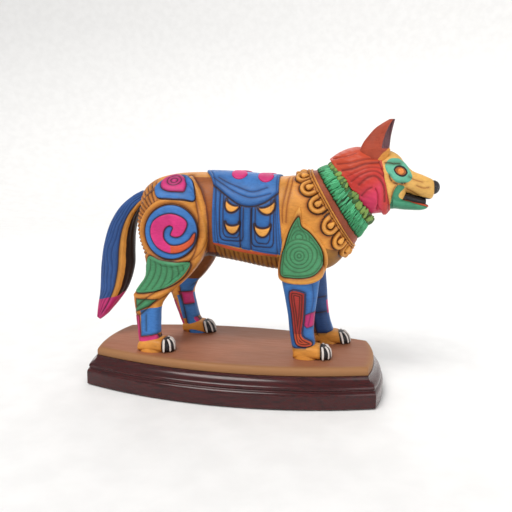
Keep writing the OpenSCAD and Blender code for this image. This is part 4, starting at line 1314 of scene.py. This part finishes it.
def collar():
    """Scallops with a raised rim round a drop, behind a corded front edge."""
    back, a = np.meshgrid(np.linspace(19, -0.5, 44), turns(560), indexing="ij")
    c = Carving(collar_place(back, a))
    nearest, second = scallop_distance(c.points, back)
    behind = ease((back - 2.8) / 0.8)
    lobe = ease((8.8 - nearest) / 1.0)
    c.height += np.where(back < 10, 0.25, -1.6) * (1 - lobe) + 1.0 * lobe
    c.ridge(nearest - 6.3, 2.1, 2.3, behind)
    c.height -= 1.0 * ease((4.2 - nearest) / 0.8) * behind
    c.groove(nearest - 3.7, 0.6, 0.4, behind, 0.85)
    c.groove((second - nearest) / 2, 0.7, 1.6, behind * ease((nearest - 5) / 2), 0.9)
    # Painted shade between the scallops.
    c.wash = np.maximum(c.wash, 0.9 * (1 - lobe) * behind)
    c.height += 1.4 * (1 - behind) * ease((back + 0.5) / 0.6)
    c.ridge(back - 0.9, 0.8, 0.9)
    c.groove(back - 2.1, 0.5, 0.7, 1.0, 0.8)
    c.ridge(back - 3.2, 0.7, 1.2)
    c.groove(back - 4.6, 0.6, 0.4, 1.0, 0.75)
    # A darker ochre in each scallop's hollow and between the scallops: painted shade.
    c.colour("deep", np.minimum(3.4 - nearest, back - 4))
    c.colour("deep", np.minimum(nearest - 8.8, back - 4))
    p = np.concatenate([c.carved(), collar_place(back, a, -2.0)[::-1]])
    attributes = carved_attributes(c, lambda v: np.concatenate([v, v[::-1]]).ravel())
    obj = new_object("collar_carved", p.reshape(-1, 3), quads(*p.shape[:2], closed=True), attributes)
    material = painted_wood("collar_paint", PALE_OCHRE, [("deep", DEEP_OCHRE)])
    finish_piece(obj, material, "collar")


def blade(origin, along, normal, length, width, thick, lift=0.15, rows=11, around=10, tip=0.75, rib=0.3):
    """A leaf, feather or drop that lies on a surface and points along it."""
    along = along / np.linalg.norm(along)
    normal = normal - along * (normal @ along)
    normal /= np.linalg.norm(normal)
    across = np.cross(normal, along)
    s = np.linspace(0.01, 0.99, rows)[:, None]
    a = (turns(around))[None]
    half = width / 2 * np.sin(math.pi * s**tip) ** 0.75
    body = thick / 2 * np.sin(math.pi * s**tip) ** 0.6
    y = half * np.cos(a)
    spine = rib * body * bell(np.cos(a), 0.35) * (np.sin(a) > 0)
    up = body * np.sin(a) + spine + lift * length * s
    p = origin + (length * s)[..., None] * along + y[..., None] * across + up[..., None] * normal
    verts, faces = tube(p)
    # Painted shade at each blade's base, where the row behind overlaps it, and on its sides, between
    # neighbouring blades.
    shade = closed_values(np.broadcast_to(0.75 * ease((0.25 - s) / 0.25), (rows, around)))
    edge = closed_values(np.abs(np.cos(a)) * np.ones_like(s) * 2 - 1.5)
    return verts, faces, {"wash": shade, "edge": edge}


def ring_frame(u, angle, grow):
    """A point on the neck with the direction towards the head and the outward normal."""
    here = tilted(TORSO, np.array([u]), np.array([angle]), grow)[0]
    ahead = tilted(TORSO, np.array([u + 0.05]), np.array([angle]), grow)[0]
    round_ = tilted(TORSO, np.array([u]), np.array([angle + 0.02]), grow)[0]
    along = ahead - here
    normal = np.cross(round_ - here, along)
    return here, along / np.linalg.norm(along), normal / np.linalg.norm(normal)


def collar_beads():
    """A drop inside each scallop."""
    parts = []
    for k in range(SCALLOPS):
        angle = (k + 0.5) * 2 * math.pi / SCALLOPS
        u = RING_BAND - (BEAD_SETBACK + 3.2) / float(neck_step(np.array([angle]))[0])
        here, along, normal = ring_frame(u, angle, 1.8)
        parts.append(blade(here, along, normal, 8.4, 5.4, 5.4, lift=0.0, rows=18, around=18, tip=0.7, rib=0))
    obj = merged_object("collar_beads_carved", parts)
    finish_piece(obj, painted_wood("bead_paint", PALE_OCHRE), "collar_beads")


def neck_band(start, end, grow, rows=14, around=260):
    """A padded ring round the neck with dark edges."""
    u, a = np.meshgrid(np.linspace(start, end, rows), turns(around), indexing="ij")
    t = (u - start) / (end - start)
    c = Carving(tilted(TORSO, u, a))
    c.height += grow * np.sqrt(np.clip(1 - (2 * t - 1) ** 8, 0, 1)) + 0.05
    c.wash = np.maximum(ease((0.16 - t) / 0.16), ease((t - 0.84) / 0.16)) * 0.9
    return c


def throat_band():
    """The dark band in front of the collar."""
    c = neck_band(RING_BAND - 0.03, RING_RUFF + 0.03, 1.6)
    material = painted_wood("throat_paint", LEATHER_RED)
    finish_piece(carved_object("throat_band_carved", c), material, "throat_band")


def band_part(c, **paint):
    """A carving as a part, with one value of each paint all over it."""
    verts, faces, values = carved_part(c)
    values.update({k: np.full(len(verts), v) for k, v in paint.items()})
    return verts, faces, values


def scattered(rng, spread):
    """A random number from -spread to spread."""
    return float(rng.uniform(-spread, spread))


def leaf_row(rng, start, count, length, width, thick, grow, lift, tone, turn=0.25, rib=0.3):
    """A ring of feathers or leaves that point towards the head, each a little different."""
    parts = []
    for k in range(count):
        angle = (k + scattered(rng, 0.25)) * 2 * math.pi / count
        here, along, normal = ring_frame(start + scattered(rng, 0.03), angle, grow)
        across = np.cross(normal, along)
        size = 1 + scattered(rng, 0.14)
        verts, faces, values = blade(here, along + across * scattered(rng, turn), normal, length * size,
                                     width * size, thick, lift=lift, rib=rib)
        values["tone"] = np.full(len(verts), tone + scattered(rng, 0.9))
        parts.append((verts, faces, values))
    return parts


def feather_ruff():
    """Overlapping rows of narrow feathers over a padded band."""
    rng = np.random.default_rng(7)
    pad = neck_band(RING_RUFF, RING_GARLAND, 3.0)
    # The band under the feathers is darkened all over as painted shade.
    pad.wash = np.full(pad.height.shape, 0.55)
    parts = [band_part(pad, edge=-1, tone=-1)]
    parts += leaf_row(rng, RING_RUFF - 0.02, 92, 9, 2.5, 2.8, 1.8, 0.30, -1.2)
    parts += leaf_row(rng, RING_RUFF + 0.14, 88, 13, 2.7, 3.0, 2.7, 0.18, -0.2)
    parts += leaf_row(rng, RING_RUFF + 0.42, 84, 12, 2.7, 3.0, 3.3, 0.10, 0.2)
    parts += leaf_row(rng, RING_RUFF + 0.72, 80, 9, 2.5, 2.6, 2.8, 0.20, -0.9)
    obj = merged_object("feather_ruff_carved", parts)
    # The darker emerald on the feathers' sides is painted shade.
    layers = [("tone", BRIGHT_EMERALD), ("edge", darker(EMERALD, 0.55))]
    material = painted_wood("feather_paint", EMERALD, layers)
    finish_piece(obj, material, "feather_ruff")


def leaf_garland():
    """Plump light leaves in front of a fringe of dark ones, which are painted shade between the leaves."""
    rng = np.random.default_rng(11)
    pad = neck_band(RING_GARLAND, RING_HOOD, 2.0)
    # The band under the leaves is darkened all over, and their sides are a darker olive: painted shade.
    pad.wash = np.full(pad.height.shape, 0.8)
    parts = [band_part(pad, edge=-1, tone=-3)]
    parts += leaf_row(rng, RING_GARLAND - 0.12, 54, 9.5, 4.2, 3.2, 3.2, 0.26, -2.0, 0.5)
    parts += leaf_row(rng, RING_GARLAND - 0.02, 40, 9.0, 5.4, 4.2, 3.8, 0.26, 0.3, 0.6, 0.2)
    parts += leaf_row(rng, RING_GARLAND + 0.16, 34, 7.0, 5.0, 4.0, 4.2, 0.30, 1.2, 0.7, 0.2)
    obj = merged_object("leaf_garland_carved", parts)
    material = painted_wood("leaf_paint", LEAF_SHADE, [("tone", OLIVE), ("edge", darker(OLIVE, 0.4))])
    finish_piece(obj, material, "leaf_garland")


# ---------- head ----------

EYE_PATCH = [[142, 187], [145, 191.5], [150, 193], [156, 192], [162, 187.5], [166, 180.5], [167.5, 175.5],
             [164, 171.5], [158, 170], [152, 171.5], [147, 176.5], [143, 182]]
CHEEK = [[154, 168], [158.5, 168.5], [161, 166], [157, 162], [156.5, 157], [170, 152], [188, 152],
         [188, 141], [160, 141], [148.5, 144], [149, 153], [150.5, 162]]
EYE_PLACE = (156, 181)
FACE_OCHRE = (0.80, 0.45, 0.115)
# The dark inside of the mouth, in upright sections as the jaw.
MOUTH = [[152, 162, 150, 12], [158, 161.5, 152, 13], [164, 161.3, 152, 11.8], [172, 158.8, 150, 9.6],
         [179, 156.8, 149.5, 7.4], [182, 155.8, 150, 5]]


def face_carving(c):
    """The face's painted patches, eye sockets and grooves, for the skull and the snout alike."""
    x, z = c.x, c.z
    side = ease((np.abs(c.y) - 4) / 4)
    patch = inside(curve(EYE_PATCH, True), x, z)
    c.colour("turquoise", np.minimum(patch, np.abs(c.y) - 7))
    c.height += 0.7 * ease(patch)
    c.colour("cheek", inside(curve(CHEEK, True, 4), x, z))
    cheek_rim = [[149, 156], [150.5, 164], [154, 168.6], [159, 169]]
    c.groove_along(cheek_rim, 0.7, 0.5, side, 0.6)
    brow = [[142, 188.6], [149, 187.8], [155, 187.6]]
    below_eye = [[146, 177], [148, 172.8], [152, 170.3], [161, 170]]
    for line in (brow, below_eye):
        c.groove_along(line, 0.75, 0.7, side)
    dx = x - EYE_PLACE[0]
    dz = z - EYE_PLACE[1] + 0.22 * dx
    almond = 6.9 - np.maximum(np.hypot(dx, dz - 2.0), np.hypot(dx, dz + 2.0))
    c.colour("black", np.minimum(almond, np.abs(c.y) - 5))
    c.colour("iris", np.minimum(almond - 1.5, np.abs(c.y) - 5))
    c.ridge(almond + 0.6, 0.7, 0.7, side)
    for line in ([[164, 176], [170, 173.5], [177, 171.5]], [[163, 165], [168, 162.5], [175, 158.5]],
                 [[172, 168], [178, 166], [183, 166.5]]):
        c.groove_along(line, 0.7, 0.45, side, 0.5)


def head():
    """Skull, snout and the dark inside of the mouth."""
    parts = []
    for table, along, around in ((SKULL, 120, 150), (SNOUT, 110, 130)):
        c = Carving(mesh_grid(upright, table, along, around))
        face_carving(c)
        if table is SNOUT:
            c.colour("black", np.minimum(161.2 - 0.19 * (c.x - 160) - c.z, 3))
        parts.append(carved_part(c))
    mouth = Carving(mesh_grid(upright, MOUTH, 40, 60))
    mouth.colour("black", np.full(mouth.height.shape, 4.0))
    parts.append(carved_part(mouth))
    obj = merged_object("head_carved", parts)
    layers = [("turquoise", TURQUOISE), ("cheek", SEA_GREEN), ("black", BLACK), ("iris", DEEP_OCHRE)]
    material = painted_wood("face_paint", FACE_OCHRE, layers)
    finish_piece(obj, material, "head")
    return obj


def jaw():
    """The lower jaw, with a red lip and a dark top."""
    c = Carving(mesh_grid(upright, JAW, 90, 90))
    lip = np.interp(c.x, [r[0] for r in JAW], [r[1] for r in JAW])
    c.colour("lip", c.z - lip + 2.0)
    c.colour("mouth", (c.z - lip + 0.55) * 2)
    c.groove(c.z - lip + 2.1, 0.5, 0.4, ease((c.x - 156) / 2), 0.5)
    material = painted_wood("jaw_paint", SEA_GREEN, [("lip", ORANGE_RED), ("mouth", BLACK)])
    finish_piece(carved_object("jaw_carved", c), material, "lower_jaw")


def ball(centre, radii, along=24, around=32):
    """A squashed ball as a part."""
    t = np.linspace(0.02, math.pi - 0.02, along)[:, None]
    a = (turns(around))[None]
    x = -np.cos(t) * radii[0] + 0 * a
    y, z = np.sin(t) * np.cos(a) * radii[1], np.sin(t) * np.sin(a) * radii[2]
    p = np.stack([x, y, z], -1) + centre
    verts, faces = tube(p)
    return verts, faces, {"wash": np.zeros(len(verts))}


def nose():
    """The black nose with two nostrils."""
    verts, faces, values = ball((188.2, 0, 166.6), (6.2, 6.2, 6.7))
    for side in (RIGHT, LEFT):
        hollow = np.linalg.norm((verts - [193.6, side * 2.9, 165.6]) / [2.4, 1.3, 1.6], axis=1)
        verts = verts - np.array([1.4, 0, 0]) * np.exp(-hollow**2)[:, None]
    obj = new_object("nose_carved", verts, faces, values)
    material = painted_wood("nose_paint", (0.03, 0.027, 0.032), wash=False, gloss=0.3)
    finish_piece(obj, material, "nose")


def eyes(head_obj):
    """Amber eyes set on the head."""
    ground = Ground([head_obj])
    parts = []
    for side in (RIGHT, LEFT):
        place, _ = ground.hit(*EYE_PLACE, side)
        parts.append(ball(np.array(place), (3.1, 2.0, 2.9)))
    obj = merged_object("eyes_carved", parts)
    finish_piece(obj, painted_wood("eye_paint", AMBER, wash=False, gloss=0.18), "eyes")


HOOD_STRANDS = [
    [[94, 192], [104, 194], [115, 197.5]],
    [[98, 187], [111, 188.5], [124, 192], [134, 192.5]],
    [[103, 181], [113, 183], [124, 187.5], [137, 189]],
    [[108, 175.5], [117, 180], [127, 184], [136, 184.2], [143, 180], [148, 171]],
    [[112, 171], [120, 177], [128, 180.5], [135, 180.6], [141.5, 176], [146, 168]],
    [[119, 168], [126, 174.5], [133, 176.5], [138.5, 173], [142.5, 165], [143.5, 153]],
    [[134, 165], [136.5, 160], [137, 152], [136, 146]],
    [[122, 158], [126, 163], [131, 166]],
]


def hood():
    """The red hood with its combed strands."""
    c = Carving(mesh_grid(tilted, HOOD, 150, 260))
    x, z = c.x, c.z
    side = ease((np.abs(c.y) - 3) / 5)
    for k, line in enumerate(HOOD_STRANDS):
        c.groove_along(line, 0.8 + 0.3 * (k % 3), 1.1, side, 0.42 + 0.1 * (k % 3))
    rim = curve([[137, 201], [139, 190], [143, 179], [147, 165], [149, 150], [149.5, 143]])
    c.groove(line_distance(rim, x, z) - 2.0, 0.7, 0.6, side, 0.6)
    flow = (z - 170) + 0.3 * (x - 120)
    c.height += 0.10 * np.sin(flow * 1.3 + 2 * np.sin(x / 9)) * side
    lower = (0.62 * (x - 100) + (178 - z) - 22) * 0.25
    c.colour("magenta", np.minimum(lower - 2.6, (140 - x) * 0.4))
    c.colour("orange", (z - 176 - 0.25 * (x - 110)) * 0.3 - 0.8)
    finish_piece(carved_object("hood_carved", c), hood_paint(), "hood")


def hood_paint():
    """As painted_wood, but the orange crown and the magenta fringe fade into the red."""
    n = Nodes("hood_paint")
    brush = n.noise(240, 3, (1, 1, 3), 0.6, 0.5)
    patchy = n.noise(45, 2)
    colour = n.mix(n.spread(patchy, 0.35, 0.7, 0.0, 0.6), (0.55, 0.040, 0.028), (0.42, 0.026, 0.022))
    colour = n.mix(n.spread(n.attribute("orange"), -2.0, 2.5, 0.0, 0.8), colour, (0.50, 0.066, 0.022))
    colour = n.mix(n.spread(n.attribute("magenta"), -2.5, 3.0, 0.0, 0.85), colour, (0.62, 0.035, 0.12))
    colour = n.mix(n.spread(brush, 0.45, 0.75, 0.0, 0.2), colour, (1.0, 0.9, 0.82), "SOFT_LIGHT")
    # Dark red in the cuts: antiquing deepened by painted shade.
    colour = n.mix(n.spread(n.attribute("wash"), 0.05, 0.75, 0.0, 0.9), colour, (0.14, 0.012, 0.010))
    n.surface(colour, brush, (0.4, 0.55), Specular_IOR_Level=0.32)
    n.bump(brush, 0.3, 0.0004)
    return n.material


def ear_carving():
    """An ear with a cupped front."""
    U, A = table_places(EAR, 110, 90)
    c = Carving(level(EAR, U, A, power=2.0))
    front = np.abs((np.degrees(A) + 22 + 180) % 360 - 180)
    cup = (46 - front) * 0.16
    c.height -= 2.3 * ease(cup / 2.5) * ease((U - 1.2) / 0.6) * ease((5 - U) / 0.5)
    c.ridge(cup, 0.8, 0.5, ease((U - 1.2) / 0.5))
    c.colour("cup", np.minimum(cup, (U - 1.4) * 6))
    c.colour("base", (1.25 - U) * 5 - 0.5 * (143 - c.x))
    return c


def ears():
    """The right ear, and its mirror image."""
    layers = [("cup", (0.13, 0.05, 0.06)), ("base", OCHRE)]
    material = painted_wood("ear_paint", (0.38, 0.058, 0.026), layers)
    for side, word in SIDES:
        obj = carved_object(f"ear_{word}_carved", ear_carving(), mirror=side == LEFT)
        finish_piece(obj, material, f"ear_{word}")


# ---------- hidden pieces, floor, lights and camera ----------

def plain_nodes():
    """CAD pieces that are shown as they are."""
    steel, wood = screw_steel(), dowel_wood()
    shown = {"base_felt": felt(), "cap_screws": steel, "paw_screws": steel, "leg_dowels": wood,
             "neck_dowel": wood, "tail_dowel": wood, "ear_dowels": wood}
    for node, material in shown.items():
        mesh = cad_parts[node].data
        mesh.materials.clear()
        mesh.materials.append(material)


def floor():
    """A round pale floor that curves up into a wall on every side."""
    bend = np.radians(np.linspace(0, 90, 13))
    rows = [[0.01, 0], [0.8, 0]] + [[1.8 + math.sin(b), 1 - math.cos(b)] for b in bend] + [[2.8, 1.5]]
    around = 96
    verts = [(r * math.cos(t), r * math.sin(t), z) for r, z in rows for t in turns(around)]
    faces = [(a, d, c, b) for a, b, c, d in quads(len(rows), around)]
    faces.append(tuple(range(around)))
    mesh = bpy.data.meshes.new("floor")
    mesh.from_pydata(verts, [], faces)
    mesh.polygons.foreach_set("use_smooth", [True] * len(mesh.polygons))
    mesh.materials.append(pale_floor())
    obj = bpy.data.objects.new("floor", mesh)
    bpy.context.collection.objects.link(obj)


def area_light(name, place, target, size, power):
    """A round soft light that points at a target."""
    light = bpy.data.lights.new(name, "AREA")
    light.shape = "DISK"
    light.size = size
    light.energy = power
    obj = bpy.data.objects.new(name, light)
    obj.location = place
    obj.rotation_euler = (Vector(target) - Vector(place)).to_track_quat("-Z", "Y").to_euler()
    bpy.context.collection.objects.link(obj)


def lights():
    """A soft key from the front left, weaker light from the right and behind, and a dim white sky."""
    world = bpy.data.worlds.new("studio")
    world.use_nodes = True
    sky = world.node_tree.nodes["Background"]
    sky.inputs["Color"].default_value = (1, 1, 1, 1)
    sky.inputs["Strength"].default_value = 0.42
    bpy.context.scene.world = world
    sun = bpy.data.lights.new("key", "SUN")
    sun.energy = 2.1
    sun.angle = math.radians(32)
    sun.color = (1.0, 0.98, 0.95)
    key = bpy.data.objects.new("key", sun)
    key.rotation_euler = Vector((0.35, 0.85, -1.25)).to_track_quat("-Z", "Y").to_euler()
    bpy.context.collection.objects.link(key)
    middle = (0, 0, 0.14)
    area_light("fill", (1.0, -0.8, 0.5), middle, 0.9, 4)
    area_light("rim", (-0.2, 1.0, 1.1), middle, 0.8, 4)


# The camera's place in metres, its turn right, up and on its axis in degrees, and its lens.
CAMERA_PLACE = (0.119, -0.552, 0.180 + DECK * MM)
CAMERA_ANGLES = (-10.25, -8.75, 0.9)
CAMERA_LENS = 39.2


def camera():
    """The camera stands to the front right of the wolf, a little above its back."""
    data = bpy.data.cameras.new("camera")
    data.sensor_width = 36
    data.lens = CAMERA_LENS
    cam = bpy.data.objects.new("camera", data)
    bpy.context.collection.objects.link(cam)
    yaw, pitch, roll = (math.radians(a) for a in CAMERA_ANGLES)
    forward = Vector((math.sin(yaw) * math.cos(pitch), math.cos(yaw) * math.cos(pitch), math.sin(pitch)))
    right = forward.cross(Vector((0, 0, 1))).normalized()
    up = right.cross(forward)
    turned_right = right * math.cos(roll) + up * math.sin(roll)
    turned_up = up * math.cos(roll) - right * math.sin(roll)
    axes = Matrix((turned_right, turned_up, -forward)).transposed().to_4x4()
    cam.matrix_world = Matrix.Translation(CAMERA_PLACE) @ axes
    bpy.context.scene.camera = cam


def ornaments(ground):
    """The raised pieces on both flanks."""
    for side, word in SIDES:
        for make in (hip_disc, hip_spiral, rump_shield, thigh_panel, shoulder, foreleg_motif):
            make(ground, side, word)


bpy.context.scene.view_settings.view_transform = "Standard"
base_pieces()
torso_obj = body()
leg_objs = legs()
claws()
tail()
ornaments(Ground([torso_obj, *leg_objs]))
saddle_obj = saddle()
saddle_ground = Ground([saddle_obj])
crescents(saddle_ground)
spots(saddle_ground)
collar()
collar_beads()
throat_band()
feather_ruff()
leaf_garland()
eyes(head())
jaw()
nose()
hood()
ears()
plain_nodes()
floor()
lights()
camera()
